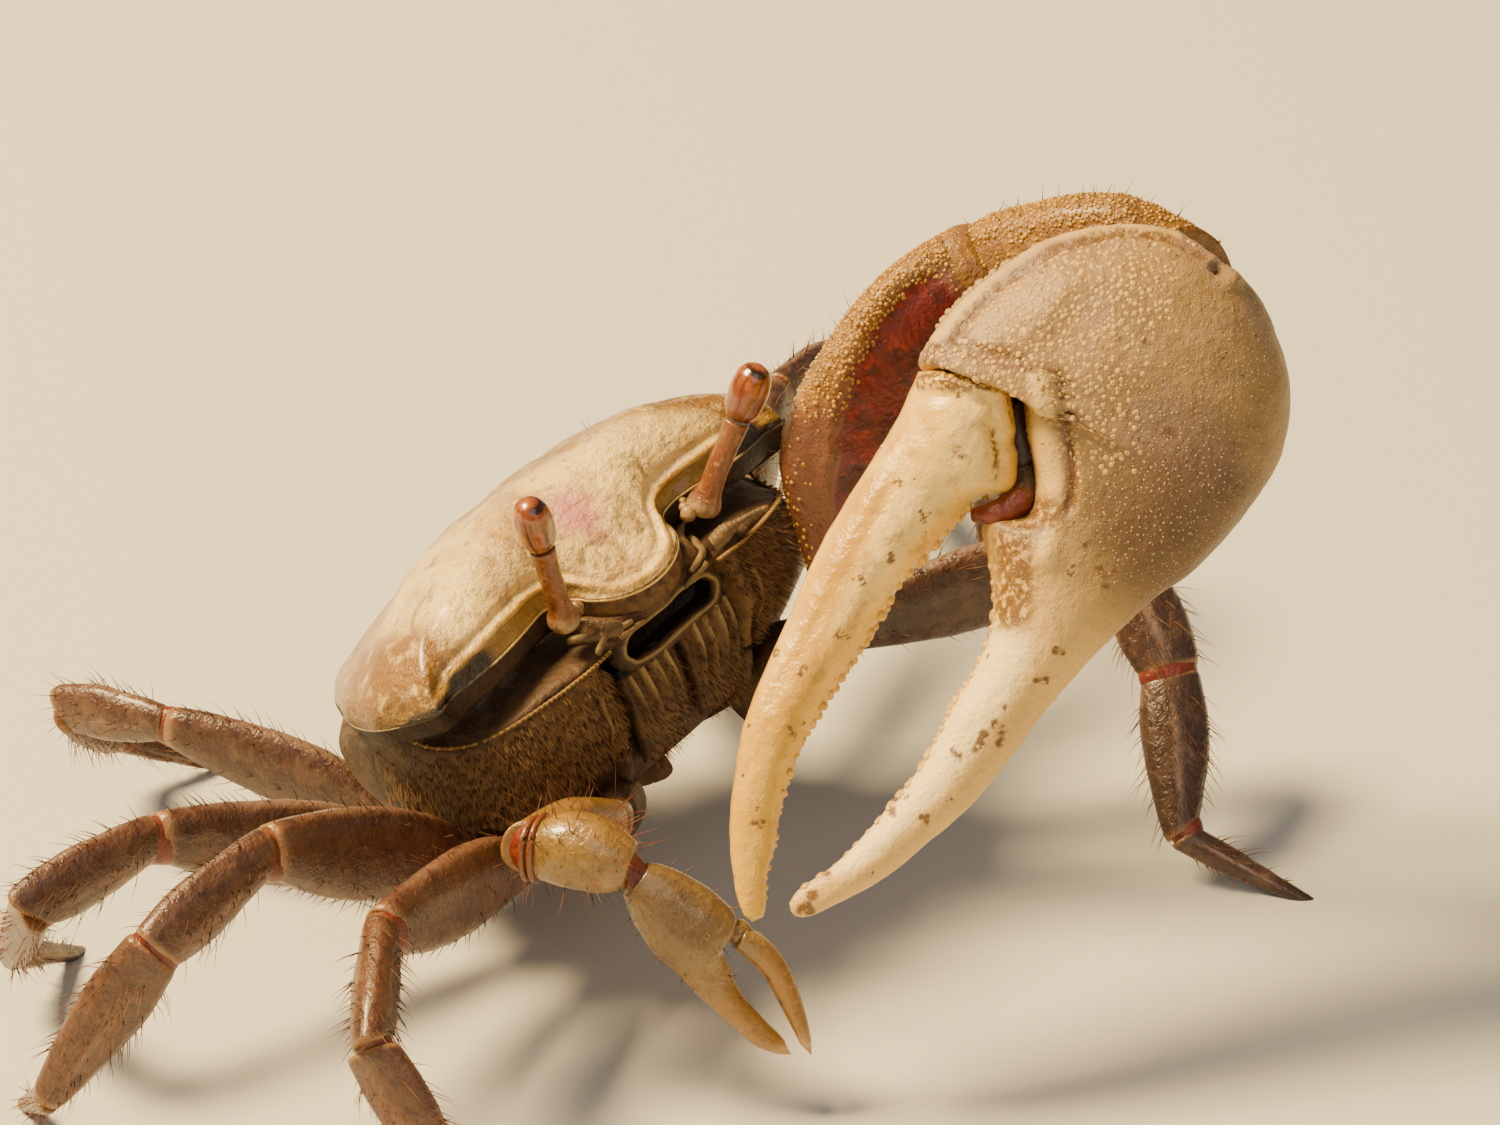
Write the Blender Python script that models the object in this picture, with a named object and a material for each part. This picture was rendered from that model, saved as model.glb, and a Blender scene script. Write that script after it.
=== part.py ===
"""A life-size fiddler crab, a male with one great claw, standing on its eight walking legs.

Sizes are in millimetres until a mesh is made, and then in metres. The body frame has x to the crab's
left, y to its back and z up through the carapace, with its origin on the line of the front. The row
frame has +Z up, the crab's head towards -Y, and its origin on the floor under the middle of its box.
"""

import math

import bpy
import numpy as np

# Driving dimensions.
MM = 0.001
CARAPACE_WIDTH = 28.0
GAP = 0.3
STANCE = np.array([-4.26, -0.55, 0.0])
BODY_HEIGHT = 20.0
BODY_PITCH_DEG = 24.0
BODY_ROLL_DEG = 12.0

# Shares of the carapace's width.
DOME_HEIGHT = 0.165
DOME_CENTRE_Y = 0.15
SHELL_CENTRE_Y = 0.18
SHELL_CUT_Z = -0.290
CARAPACE_EDGE = 0.022
WALL_FRONT = 0.295
MOUTH_DEPTH = 0.060

# The great claw lies in one plane: its wrist, its way to the tips and its way to the upper edge.
GREAT_WRIST = np.array([21.22, -20.72, 35.61])
GREAT_ALONG = np.array([-0.7355, 0.0261, -0.6770])
GREAT_RISE = np.array([-0.4034, 0.7859, 0.4685])

# Its rungs in that plane, from the wrist to the tip, in millimetres: the upper end (along, rise), the
# lower end (along, rise), half the thickness outwards and inwards, and how square the section is.
GREAT_PALM = [
    (-0.6, 0.6, -0.1, -0.9, 0.9, 0.8, 2.2),
    (-0.6, 2.8, 0.0, -2.7, 2.4, 1.5, 2.2),
    (0.3, 4.7, 1.2, -4.5, 3.5, 2.0, 2.2),
    (1.8, 6.5, 2.4, -5.8, 4.3, 2.5, 2.3),
    (3.4, 7.8, 3.7, -6.6, 4.8, 2.8, 2.3),
    (5.4, 8.8, 5.0, -7.15, 4.9, 3.0, 2.3),
    (7.6, 9.6, 6.4, -7.5, 4.8, 3.0, 2.4),
    (9.8, 9.9, 7.6, -7.5, 4.6, 2.9, 2.7),
    (11.7, 9.4, 8.6, -7.4, 4.4, 2.8, 3.2),
    (10.9, 7.2, 9.8, -7.25, 4.2, 2.7, 3.4),
    (10.1, 4.9, 11.1, -7.05, 3.9, 2.6, 3.2),
    (11.5, 2.9, 12.6, -6.7, 3.6, 2.5, 3.0),
    (13.2, 1.7, 14.0, -6.2, 3.3, 2.4, 2.6),
    (14.9, 1.8, 15.2, -5.8, 3.0, 2.3, 2.4),
    (16.0, 3.0, 16.6, -5.4, 2.8, 2.2, 2.3),
    (17.4, 1.9, 17.9, -5.1, 2.6, 2.1, 2.2),
    (18.9, 0.6, 19.5, -4.8, 2.4, 2.0, 2.2),
    (20.6, -0.2, 20.8, -4.6, 2.2, 1.9, 2.2),
    (22.6, -0.5, 22.4, -4.4, 2.0, 1.8, 2.2),
    (24.2, -0.5, 24.1, -4.3, 1.9, 1.7, 2.2),
    (26.0, -0.7, 26.2, -4.1, 1.7, 1.6, 2.2),
    (28.0, -0.8, 28.5, -3.7, 1.5, 1.4, 2.2),
    (29.8, -0.6, 30.8, -3.0, 1.3, 1.2, 2.2),
    (31.9, -0.3, 33.1, -2.2, 1.1, 1.0, 2.2),
    (33.8, 0.1, 34.6, -1.4, 0.9, 0.9, 2.2),
    (35.2, 0.7, 36.1, -0.5, 0.6, 0.6, 2.2),
]
GREAT_FINGER = [
    (12.25, 9.3, 10.85, 5.3, 3.0, 2.1, 2.6),
    (13.3, 9.2, 11.6, 4.1, 3.1, 2.2, 2.4),
    (15.1, 9.0, 13.0, 2.9, 2.9, 2.1, 2.3),
    (16.5, 9.0, 14.2, 2.4, 2.6, 2.0, 2.2),
    (17.9, 9.0, 15.3, 3.7, 2.3, 1.9, 2.2),
    (19.2, 9.0, 16.6, 4.0, 2.2, 1.8, 2.2),
    (21.1, 8.9, 17.9, 4.2, 2.1, 1.8, 2.2),
    (22.7, 8.7, 19.2, 4.4, 2.0, 1.7, 2.2),
    (24.5, 8.4, 20.6, 4.7, 1.9, 1.6, 2.2),
    (26.9, 8.1, 22.7, 4.6, 1.8, 1.5, 2.2),
    (28.6, 7.8, 24.8, 4.6, 1.7, 1.4, 2.2),
    (30.6, 7.3, 27.4, 4.6, 1.5, 1.3, 2.2),
    (32.4, 6.6, 29.7, 4.5, 1.3, 1.2, 2.2),
    (34.2, 5.8, 32.4, 3.9, 1.1, 1.0, 2.2),
    (35.8, 4.8, 34.6, 3.0, 0.9, 0.8, 2.2),
    (37.0, 3.8, 36.0, 2.5, 0.7, 0.6, 2.2),
    (37.9, 2.6, 37.2, 1.8, 0.4, 0.4, 2.2),
]

# The small claw, in the same way.
SMALL_WRIST = np.array([-10.54, -12.76, 12.47])
SMALL_ALONG = np.array([0.3365, -0.5684, -0.7508])
SMALL_RISE = np.array([0.7651, -0.2998, 0.5698])
SMALL_PALM = [
    (0.4, 0.9, 0.8, -1.1, 0.9, 0.9, 2.2),
    (1.1, 1.4, 2.0, -1.5, 1.2, 1.1, 2.2),
    (2.8, 2.1, 3.6, -1.8, 1.4, 1.2, 2.2),
    (4.5, 2.4, 4.8, -1.7, 1.4, 1.2, 2.4),
    (5.5, 2.1, 5.7, -1.6, 1.3, 1.1, 2.6),
    (5.9, 0.9, 6.4, -1.6, 1.1, 1.0, 2.4),
    (7.2, 0.4, 7.6, -1.5, 0.8, 0.8, 2.2),
    (8.6, 0.1, 9.1, -1.3, 0.7, 0.6, 2.2),
    (10.0, 0.1, 10.6, -1.1, 0.6, 0.5, 2.2),
    (11.4, 0.1, 11.7, -0.6, 0.4, 0.4, 2.2),
]
SMALL_FINGER = [
    (5.9, 2.35, 6.3, 1.2, 0.8, 0.8, 2.3),
    (6.9, 2.7, 7.0, 1.3, 0.7, 0.7, 2.2),
    (8.4, 2.7, 8.3, 1.4, 0.6, 0.6, 2.2),
    (9.8, 2.3, 9.8, 1.1, 0.5, 0.5, 2.2),
    (11.2, 1.7, 11.1, 0.8, 0.5, 0.4, 2.2),
    (12.3, 1.1, 12.1, 0.55, 0.3, 0.3, 2.2),
]

# Joints of the two claw arms in the row frame: the merus's start, its end and the carpus's end.
GREAT_ARM = np.array([[10.6, -6.3, 14.6], [18.5, -8.4, 32.3], [22.95, -18.35, 33.75]])
SMALL_ARM = np.array([[-6.0, -6.9, 10.6], [-12.9, -8.0, 12.6], [-10.3, -12.9, 12.5]])

# The eyes, in widths: the stalk's foot, the ways the two stalks point, and the lengths in millimetres.
STALK_FOOT = (0.180, -0.074, -0.026)
STALK_WAYS = {1: (0.479, -0.520, 0.692), -1: (-0.115, -0.385, 0.915)}
STALK_LENGTH = 5.5
CORNEA_LENGTH = 3.0

# Where each leg leaves the body, in widths of the carapace for the left side: x, y, z.
HIPS = {
    1: (0.240, -0.035, -0.372),
    2: (0.295, 0.070, -0.378),
    3: (0.310, 0.170, -0.378),
    4: (0.310, 0.270, -0.380),
    5: (0.268, 0.362, -0.386),
}

# Lengths of merus, carpus, propodus and dactyl for each pair of walking legs.
LEG_LENGTHS = {
    2: (15.5, 7.0, 8.5, 6.4),
    3: (16.5, 7.6, 9.6, 7.4),
    4: (16.0, 7.2, 9.2, 7.4),
    5: (13.0, 5.8, 7.2, 6.4),
}

# The pose of each walking leg: the way each segment heads, in degrees from the crab's left towards its
# back, and the height of the knee, the carpus's end and the propodus's end.
LEG_POSES = {
    (2, 1): ((-24, -100, -130, -60), (13.6, 8.4, 2.6)),
    (3, 1): ((24, 8, 0, -12), (19.8, 16.4, 7.4)),
    (4, 1): ((34, 20, 8, -5), (13.6, 11.6, 4.2)),
    (5, 1): ((58, 46, 35, 20), (9.0, 7.8, 3.0)),
    (2, -1): ((198, 222, 290, 330), (12.6, 10.2, 3.0)),
    (3, -1): ((184, 180, 140, 60), (14.6, 12.2, 4.2)),
    (4, -1): ((165, 172, 60, 20), (11.6, 10.2, 3.6)),
    (5, -1): ((120, 106, 20, -20), (8.6, 7.8, 3.0)),
}

# The way the upper edge of a leg faces beyond its knee, where that is not straight up.
LEG_LEAN = {(2, 1): (0.9, -0.4, 0.3)}

# One half of the carapace's margin, from the tip of the front round to the back: x, y, z in widths.
MARGIN_HALF = [
    (0.000, -0.130, -0.040),
    (0.045, -0.125, -0.036),
    (0.085, -0.108, -0.026),
    (0.112, -0.080, -0.012),
    (0.124, -0.050, 0.000),
    (0.145, -0.030, 0.006),
    (0.180, -0.026, 0.010),
    (0.215, -0.038, 0.012),
    (0.270, -0.050, 0.010),
    (0.330, -0.050, 0.005),
    (0.385, -0.036, -0.001),
    (0.430, -0.022, -0.006),
    (0.470, -0.030, -0.010),
    (0.486, 0.000, -0.013),
    (0.498, 0.060, -0.017),
    (0.500, 0.120, -0.021),
    (0.482, 0.190, -0.027),
    (0.445, 0.270, -0.034),
    (0.395, 0.350, -0.046),
    (0.345, 0.425, -0.062),
    (0.295, 0.485, -0.078),
    (0.240, 0.520, -0.092),
    (0.160, 0.532, -0.098),
    (0.080, 0.536, -0.100),
]
FRONT_KNOTS = 13


def spline(knots, values, at):
    """Cubic Hermite curve through the values, with each slope taken from its two neighbours."""
    knots = np.asarray(knots, float)
    values = np.asarray(values, float)
    at = np.clip(np.asarray(at, float), knots[0], knots[-1])
    flat = values.ndim == 1
    if flat:
        values = values[:, None]
    slopes = np.gradient(values, knots, axis=0)
    i = np.clip(np.searchsorted(knots, at, side="right") - 1, 0, len(knots) - 2)
    step = (knots[i + 1] - knots[i])[:, None]
    t = (at[:, None] - knots[i][:, None]) / step
    h00 = 2 * t**3 - 3 * t**2 + 1
    h10 = t**3 - 2 * t**2 + t
    h01 = -2 * t**3 + 3 * t**2
    h11 = t**3 - t**2
    found = h00 * values[i] + h10 * step * slopes[i] + h01 * values[i + 1] + h11 * step * slopes[i + 1]
    return found[:, 0] if flat else found


def unit(v):
    v = np.asarray(v, float)
    return v / np.linalg.norm(v, axis=-1, keepdims=True)


def body_axes():
    """The turn from the body frame to the row frame: the nose is raised, then the left side."""
    p, r = math.radians(-BODY_PITCH_DEG), math.radians(-BODY_ROLL_DEG)
    pitch = np.array([[1, 0, 0], [0, math.cos(p), -math.sin(p)], [0, math.sin(p), math.cos(p)]])
    roll = np.array([[math.cos(r), 0, math.sin(r)], [0, 1, 0], [-math.sin(r), 0, math.cos(r)]])
    return pitch @ roll


BODY_TURN = body_axes()


def from_body(points):
    """Body-frame points in widths, placed in the row frame in millimetres."""
    middle = STANCE + [0.0, 0.0, BODY_HEIGHT]
    return (np.asarray(points, float) * CARAPACE_WIDTH) @ BODY_TURN.T + middle


def material(name, colour, roughness):
    made = bpy.data.materials.new(name)
    made.use_nodes = True
    shader = made.node_tree.nodes["Principled BSDF"]
    shader.inputs["Base Color"].default_value = (*colour, 1.0)
    shader.inputs["Roughness"].default_value = roughness
    shader.inputs["Metallic"].default_value = 0.0
    return made


def add_mesh(name, points, faces, look):
    """One named object with its place in its mesh, from points in millimetres."""
    mesh = bpy.data.meshes.new(name)
    mesh.from_pydata((np.asarray(points) * MM).tolist(), [], faces)
    mesh.validate()
    mesh.materials.append(look)
    mesh.shade_smooth()
    mesh.set_sharp_from_angle(angle=math.radians(40))
    made = bpy.data.objects.new(name, mesh)
    bpy.context.scene.collection.objects.link(made)
    return made


def ring_faces(first, count, rings):
    """Quads between neighbouring rings of points, which all turn the same way."""
    faces = []
    for r in range(rings - 1):
        low = first + r * count
        for i in range(count):
            j = (i + 1) % count
            faces.append((low + i, low + j, low + count + j, low + count + i))
    return faces


def closed_loft(rings, start_pole=None, end_pole=None):
    """Points and faces of a closed skin over rings of equal count, each end a flat cap or a pole."""
    rings = np.asarray(rings, float)
    total, count = rings.shape[:2]
    points = [rings.reshape(-1, 3)]
    faces = ring_faces(0, count, total)
    extra = total * count
    for pole, base, turn in ((start_pole, 0, -1), (end_pole, (total - 1) * count, 1)):
        loop = [base + i for i in range(count)][::turn]
        if pole is None:
            faces.append(tuple(loop))
            continue
        points.append(np.asarray(pole, float)[None])
        faces += [(loop[i], loop[(i + 1) % count], extra) for i in range(count)]
        extra += 1
    return np.concatenate(points), faces


def oval(count, square=2.0):
    """Unit superellipse round the origin, starting at +a and turning towards +b."""
    angle = np.arange(count) * 2 * math.pi / count
    c, s = np.cos(angle), np.sin(angle)
    p = 2.0 / square
    return np.stack([np.sign(c) * np.abs(c) ** p, np.sign(s) * np.abs(s) ** p], 1)


def limb(name, look, start, end, height_axis, stations, start_cut=None, end_cut=None,
         bow=0.0, count=12, rings=9, square=2.2, start_gap=GAP / 2, end_gap=GAP / 2, pointed=False):
    """One segment of a leg: ovals carried along the line from start to end.

    Each station is (share of the length, top, bottom, half width), measured from the line. The end
    rings are sheared into the planes of the joints, so that neighbours meet face to face."""
    start, end = np.asarray(start, float), np.asarray(end, float)
    along = unit(end - start)
    start = start + along * start_gap
    end = end - along * end_gap
    length = np.linalg.norm(end - start)
    side = unit(np.cross(height_axis, along))
    rise = np.cross(along, side)
    knots = [s[0] for s in stations]
    t = np.linspace(0.0, 1.0, rings)
    top = spline(knots, [s[1] for s in stations], t)
    low = spline(knots, [s[2] for s in stations], t)
    wide = spline(knots, [s[3] for s in stations], t)
    shape = oval(count, square)
    a = shape[None, :, 0] * wide[:, None]
    b = np.where(shape[None, :, 1] > 0, shape[None, :, 1] * top[:, None], shape[None, :, 1] * low[:, None])
    b = b + (bow * 4 * t * (1 - t))[:, None]
    s = np.repeat((t * length)[:, None], count, 1)
    reach = 0.55 * length
    for cut, flip, away in ((start_cut, 1.0, t * length), (end_cut, -1.0, (1 - t) * length)):
        if cut is None:
            continue
        n = unit(cut)
        n_along, n_side, n_rise = n @ along, n @ side, n @ rise
        fade = np.clip(1 - away / reach, 0, 1) ** 1.5
        s = s - (a * n_side + b * n_rise) / n_along * fade[:, None]
    points = start + s[..., None] * along + a[..., None] * side + b[..., None] * rise
    pole = end + along * 0.12 if pointed else None
    made = closed_loft(points, end_pole=pole)
    return add_mesh(name, *made, look)


def union(made, pieces):
    """Joins closed pieces into one object by one applied Boolean, and drops the pieces."""
    group = bpy.data.collections.new(made.name + "_pieces")
    for piece in pieces:
        bpy.context.scene.collection.objects.unlink(piece)
        group.objects.link(piece)
    bpy.context.scene.collection.children.link(group)
    joined = made.modifiers.new("join", "BOOLEAN")
    joined.operation = "UNION"
    joined.operand_type = "COLLECTION"
    joined.collection = group
    joined.solver = "MANIFOLD"
    graph = bpy.context.evaluated_depsgraph_get()
    mesh = bpy.data.meshes.new_from_object(made.evaluated_get(graph))
    made.modifiers.clear()
    old = made.data
    made.data = mesh
    bpy.data.meshes.remove(old)
    for piece in list(group.objects):
        bpy.data.objects.remove(piece)
    bpy.data.collections.remove(group)
    return made


def margin_loop():
    """The carapace's whole margin as a closed ring of points in widths, split finer along the front."""
    half = np.array(MARGIN_HALF)
    back = np.array([[0.0, half[-1, 1], half[-1, 2]]])
    mirrored = half[1:] * [-1, 1, 1]
    loop = np.concatenate([half, back, mirrored[::-1], half[:1]])
    total = len(loop) - 1
    near = np.arange(2 * FRONT_KNOTS) / 2
    far = np.arange(FRONT_KNOTS, total - FRONT_KNOTS + 1)
    at = np.concatenate([near, far, total - near[1:][::-1]])
    wrapped = np.concatenate([loop[-2:-1], loop, loop[1:2]])
    return spline(np.arange(-1.0, len(loop) + 1.0), wrapped, at)


def softened(loop, turns=60):
    """The ring with its notches and corners drawn out, by averaging each point with its neighbours."""
    ring = loop.copy()
    for _ in range(turns):
        ring = 0.5 * ring + 0.25 * (np.roll(ring, 1, axis=0) + np.roll(ring, -1, axis=0))
    return ring


def dome(loop, share):
    """The carapace's upper skin at a share of the way from its middle to its margin, in widths.

    The height is the dome's times (1 - share^p)^q, steep at the sides and gentle at the front. The
    margin's notches show only near the margin, since the inner rings follow its softened outline."""
    centre = np.array([0.0, DOME_CENTRE_Y])
    near = np.clip((share - 0.80) / 0.20, 0, 1) ** 1.3
    loop = loop * near + softened(loop) * (1 - near)
    out = loop[:, :2] - centre
    plan = centre + out * share
    forward = np.clip(-out[:, 1] / np.linalg.norm(out, axis=1), 0, 1)
    aside = np.abs(out[:, 0]) / np.linalg.norm(out, axis=1)
    p = 2.2 + 3.4 * aside**2
    q = 0.44 + 0.52 * forward**2
    height = DOME_HEIGHT - 0.10 * np.clip(plan[:, 1] - 0.05, 0, 1)
    z = loop[:, 2] * share**2.2 + height * np.clip(1 - share**p, 0, 1) ** q
    return np.column_stack([plan, z])


def body_loft(name, look, rings, top, bottom):
    """A closed skin over body rings listed from the top down, with a pole at each end."""
    placed = [from_body(r) for r in rings[::-1]]
    return add_mesh(name, *closed_loft(placed, from_body(bottom), from_body(top)), look)


def make_carapace(look):
    """The arched back shell: rings from the crown to the margin, down its edge and in underneath."""
    loop = margin_loop()
    shares = [0.22, 0.42, 0.60, 0.75, 0.86, 0.93, 0.975, 1.0]
    rings = [dome(loop, s) for s in shares]
    centre = np.array([0.0, DOME_CENTRE_Y, 0.0])
    edge = loop - [0, 0, CARAPACE_EDGE]
    edge[:, :2] = centre[:2] + (edge[:, :2] - centre[:2]) * 0.985
    under = [edge]
    for share in (0.75, 0.4):
        ring = edge.copy()
        ring = centre + (ring - centre) * share
        ring[:, 2] = edge[:, 2] * share - CARAPACE_EDGE * (1 - share)
        under.append(ring)
    crown = dome(loop, 0.0).mean(0)
    root = np.array([0.0, DOME_CENTRE_Y, -CARAPACE_EDGE])
    return body_loft("carapace", look, rings + under, crown, root)


def wall_draw(z):
    """How far the body's wall reaches at one height, as a share of its greatest outline."""
    heights = [-0.42, -0.36, -0.31, -0.25, -0.17, -0.08, 0.0]
    return float(spline(heights, [0.50, 0.73, 0.85, 0.93, 0.98, 0.985, 0.975], [z])[0])


def shell_ring(loop, z):
    """The body's wall at one height below the margin, in widths.

    It blends from the margin's own outline to a smooth boxy oval, swells a little and then draws in,
    with a hollow for each orbit and one for the mouth's frame."""
    centre = np.array([0.0, SHELL_CENTRE_Y])
    out = loop[:, :2] - centre
    angle = np.arctan2(out[:, 0], -out[:, 1])
    wide, back = 0.452, 0.345
    deep = np.where(np.abs(angle) < math.pi / 2, WALL_FRONT, back)
    n = 3.0
    radius = (np.abs(np.sin(angle) / wide) ** n + np.abs(np.cos(angle) / deep) ** n) ** (-1 / n)
    smooth = np.stack([np.sin(angle) * radius, -np.cos(angle) * radius], 1)
    fade = np.clip(-z / 0.09, 0, 1)
    fade = fade * fade * (3 - 2 * fade)
    plan = (out * (1 - fade) + smooth * fade) * wall_draw(z)
    lifted = loop[:, 2] * np.clip(1 + (z + CARAPACE_EDGE + GAP / CARAPACE_WIDTH) / 0.25, 0, 1)
    height = z + lifted
    ahead = plan[:, 1] < 0
    side = np.abs(plan[:, 0])
    low = np.interp(side, [0.14, 0.30, 0.42, 0.47], [-0.090, -0.100, -0.112, -0.085])
    across = np.clip((side - 0.13) / 0.05, 0, 1) * np.clip((0.475 - side) / 0.05, 0, 1)
    within = np.clip((z - low) / 0.022, 0, 1) * np.clip((-0.038 - z) / 0.010, 0, 1)
    orbit = 0.075 * across * within
    mouth_wide = 0.165 + 0.06 * (z + 0.36)
    mouth = np.clip((mouth_wide - side) / 0.025, 0, 1) * np.clip((-0.098 - height) / 0.02, 0, 1)
    slope = 0.060 * np.clip((-z - 0.215) / 0.08, 0, 1) * np.clip((side - 0.155) / 0.04, 0, 1)
    plan[:, 1] += np.where(ahead, orbit + MOUTH_DEPTH * mouth + slope, 0.0)
    return np.column_stack([plan + centre, height])


def make_shell(look):
    """The hairy side and face wall under the carapace, cut off level above the breastplate."""
    loop = margin_loop()
    gap = GAP / CARAPACE_WIDTH
    top = -CARAPACE_EDGE - 1.6 * gap
    levels = [top, -0.049, -0.062, -0.080, -0.096, -0.108, -0.122, -0.145, -0.180, -0.225, -0.260,
              SHELL_CUT_Z + gap / 2]
    rings = [shell_ring(loop, z) for z in levels]
    centre = np.array([0.0, DOME_CENTRE_Y])
    lid = [rings[0]]
    sunk = 0.03
    for share in (0.75, 0.4):
        ring = rings[0].copy()
        ring[:, :2] = centre + (ring[:, :2] - centre) * share
        ring[:, 2] = (rings[0][:, 2] - top) * share + top - sunk * (1 - share)
        lid.insert(0, ring)
    pole = np.array([0.0, DOME_CENTRE_Y, top - sunk])
    floor = np.array([0.0, SHELL_CENTRE_Y, SHELL_CUT_Z + gap / 2])
    rings[-1][:, 2] = floor[2]
    return body_loft("face_shell", look, lid[:-1] + rings, pole, floor)


def make_sternum(look):
    """The breastplate: the bottom of the body, below the level cut."""
    loop = margin_loop()[::2]
    gap = GAP / CARAPACE_WIDTH
    levels = [SHELL_CUT_Z - gap / 2, -0.315, -0.345, -0.370]
    rings = [shell_ring(loop, z) for z in levels]
    rings[0][:, 2] = levels[0]
    for share, z in ((0.62, -0.388), (0.34, -0.398)):
        ring = rings[3].copy()
        ring[:, :2] = [0, SHELL_CENTRE_Y] + (ring[:, :2] - [0, SHELL_CENTRE_Y]) * share / 0.74
        ring[:, 2] = z
        rings.append(ring)
    lid = np.array([0.0, SHELL_CENTRE_Y, levels[0]])
    pole = np.array([0.0, SHELL_CENTRE_Y, -0.400])
    return body_loft("sternum", look, rings, lid, pole)


def boss(hip, way, radius_high, radius_wide, reach, look):
    """A short hip joint standing out of the breastplate along a leg's way."""
    start = hip - way * 3.4
    stations = [(0.0, radius_high, radius_high, radius_wide), (1.0, radius_high, radius_high, radius_wide)]
    return limb("boss", look, start, hip + way * reach, (0, 0, 1), stations, count=8, rings=2,
                start_gap=0.0)


def hip_point(number, side):
    x, y, z = HIPS[number]
    return from_body(np.array([x * side, y, z]))


def heading(degrees, rise):
    """A unit direction from a heading on the floor and its rise per unit."""
    flat = math.sqrt(max(1.0 - rise * rise, 0.0))
    a = math.radians(degrees)
    return np.array([math.cos(a) * flat, math.sin(a) * flat, rise])


def leg_joints(number, side):
    """Hip, hip joint's end, knee, carpus's end, propodus's end and foot of one walking leg."""
    hip = hip_point(number, side)
    ways, heights = LEG_POSES[(number, side)]
    out = heading(ways[0], 0.10)
    joints = [hip, hip + out * 3.0]
    for way, length, height in zip(ways, LEG_LENGTHS[number], (*heights, 0.0)):
        rise = (height - joints[-1][2]) / length
        joints.append(joints[-1] + heading(way, max(-0.995, min(0.995, rise))) * length)
    return joints


def between(a, b):
    """The plane of a joint between two segments: halfway between their ways."""
    return unit(unit(a) + unit(b))


LEG_SHAPES = {
    "merus": [(0.0, 0.95, 0.95, 0.75), (0.14, 1.5, 1.3, 0.95), (0.45, 2.15, 2.0, 1.1),
              (0.8, 1.75, 1.75, 1.0), (1.0, 1.2, 1.2, 0.9)],
    "carpus": [(0.0, 1.15, 1.1, 0.85), (0.3, 1.55, 1.4, 0.95), (0.75, 1.8, 1.6, 1.0),
               (1.0, 1.5, 1.4, 0.85)],
    "propodus": [(0.0, 1.4, 1.35, 0.8), (0.3, 1.6, 1.5, 0.85), (0.7, 1.25, 1.2, 0.75),
                 (1.0, 0.8, 0.75, 0.6)],
    "dactyl": [(0.0, 0.72, 0.7, 0.55), (0.3, 0.68, 0.62, 0.5), (0.7, 0.5, 0.45, 0.38),
               (1.0, 0.36, 0.36, 0.34)],
}
LEG_GIRTH = {2: 1.06, 3: 1.08, 4: 1.02, 5: 0.85}


def scaled(stations, by):
    return [(t, top * by, low * by, wide * by) for t, top, low, wide in stations]


def make_leg(number, side, look):
    """Merus, carpus, propodus and dactyl of one walking leg, its tip cut level for the floor."""
    joints = leg_joints(number, side)
    word = "left" if side > 0 else "right"
    girth = LEG_GIRTH[number]
    ways = [unit(b - a) for a, b in zip(joints[:-1], joints[1:])]
    cuts = [between(a, b) for a, b in zip(ways[:-1], ways[1:])]
    for k, part in enumerate(("merus", "carpus", "propodus", "dactyl")):
        start, end = joints[k + 1], joints[k + 2]
        last = part == "dactyl"
        upper = (0, 0, 1) if k == 0 else LEG_LEAN.get((number, side), (0, 0, 1))
        limb(f"leg{number}_{word}_{part}", look, start, end, upper, scaled(LEG_SHAPES[part], girth),
             start_cut=cuts[k], end_cut=np.array([0.0, 0.0, -1.0]) if last else cuts[k + 1],
             count=10, rings=7 if part == "merus" else 6, square=2.3,
             end_gap=0.0 if last else GAP / 2)


def in_plane(frame, flat, out):
    """Points in the row frame from (along, rise) pairs and distances outwards from a claw's plane."""
    origin, along, rise = frame
    flat = np.asarray(flat, float)
    outward = -np.cross(along, rise)
    return origin + STANCE + flat[..., :1] * along + flat[..., 1:2] * rise + np.asarray(out)[..., None] * outward


def ladder(name, look, frame, rungs, count=14, tip=None):
    """A claw's skin: superellipses hung on rungs that step along the claw's plane."""
    table = np.array(rungs)
    upper, lower = table[:, 0:2], table[:, 2:4]
    middle, half = (upper + lower) / 2, (upper - lower) / 2
    angle = np.arange(count) * 2 * math.pi / count
    c, s = np.cos(angle), np.sin(angle)
    power = 2.0 / table[:, 6:7]
    reach = np.sign(c) * np.abs(c) ** power
    thick = np.sign(s) * np.abs(s) ** power
    flat = middle[:, None, :] + half[:, None, :] * reach[..., None]
    out = -np.where(thick > 0, thick * table[:, 5:6], thick * table[:, 4:5])
    points = in_plane(frame, flat, out)
    pole = None if tip is None else in_plane(frame, np.array([tip]), np.zeros(1))[0]
    return add_mesh(name, *closed_loft(points, end_pole=pole), look)


def tooth(frame, at, push, radius, height, look):
    """A low pointed granule on a finger's biting edge, sunk into the finger."""
    angle = np.arange(6) * math.pi / 3
    origin, along, rise = frame
    push = push[0] * along + push[1] * rise
    root = in_plane(frame, np.array([at]), np.zeros(1))[0]
    side = unit(np.cross(along, rise))
    across = np.cross(push, side)
    ring = root - push * 0.5 + radius * (np.cos(angle)[:, None] * across + np.sin(angle)[:, None] * side)
    rings = [ring, ring + push * 0.5]
    if np.cross(across, side) @ push < 0:
        rings = [r[::-1] for r in rings]
    return add_mesh("tooth", *closed_loft(rings, end_pole=root + push * height), look)


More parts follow.
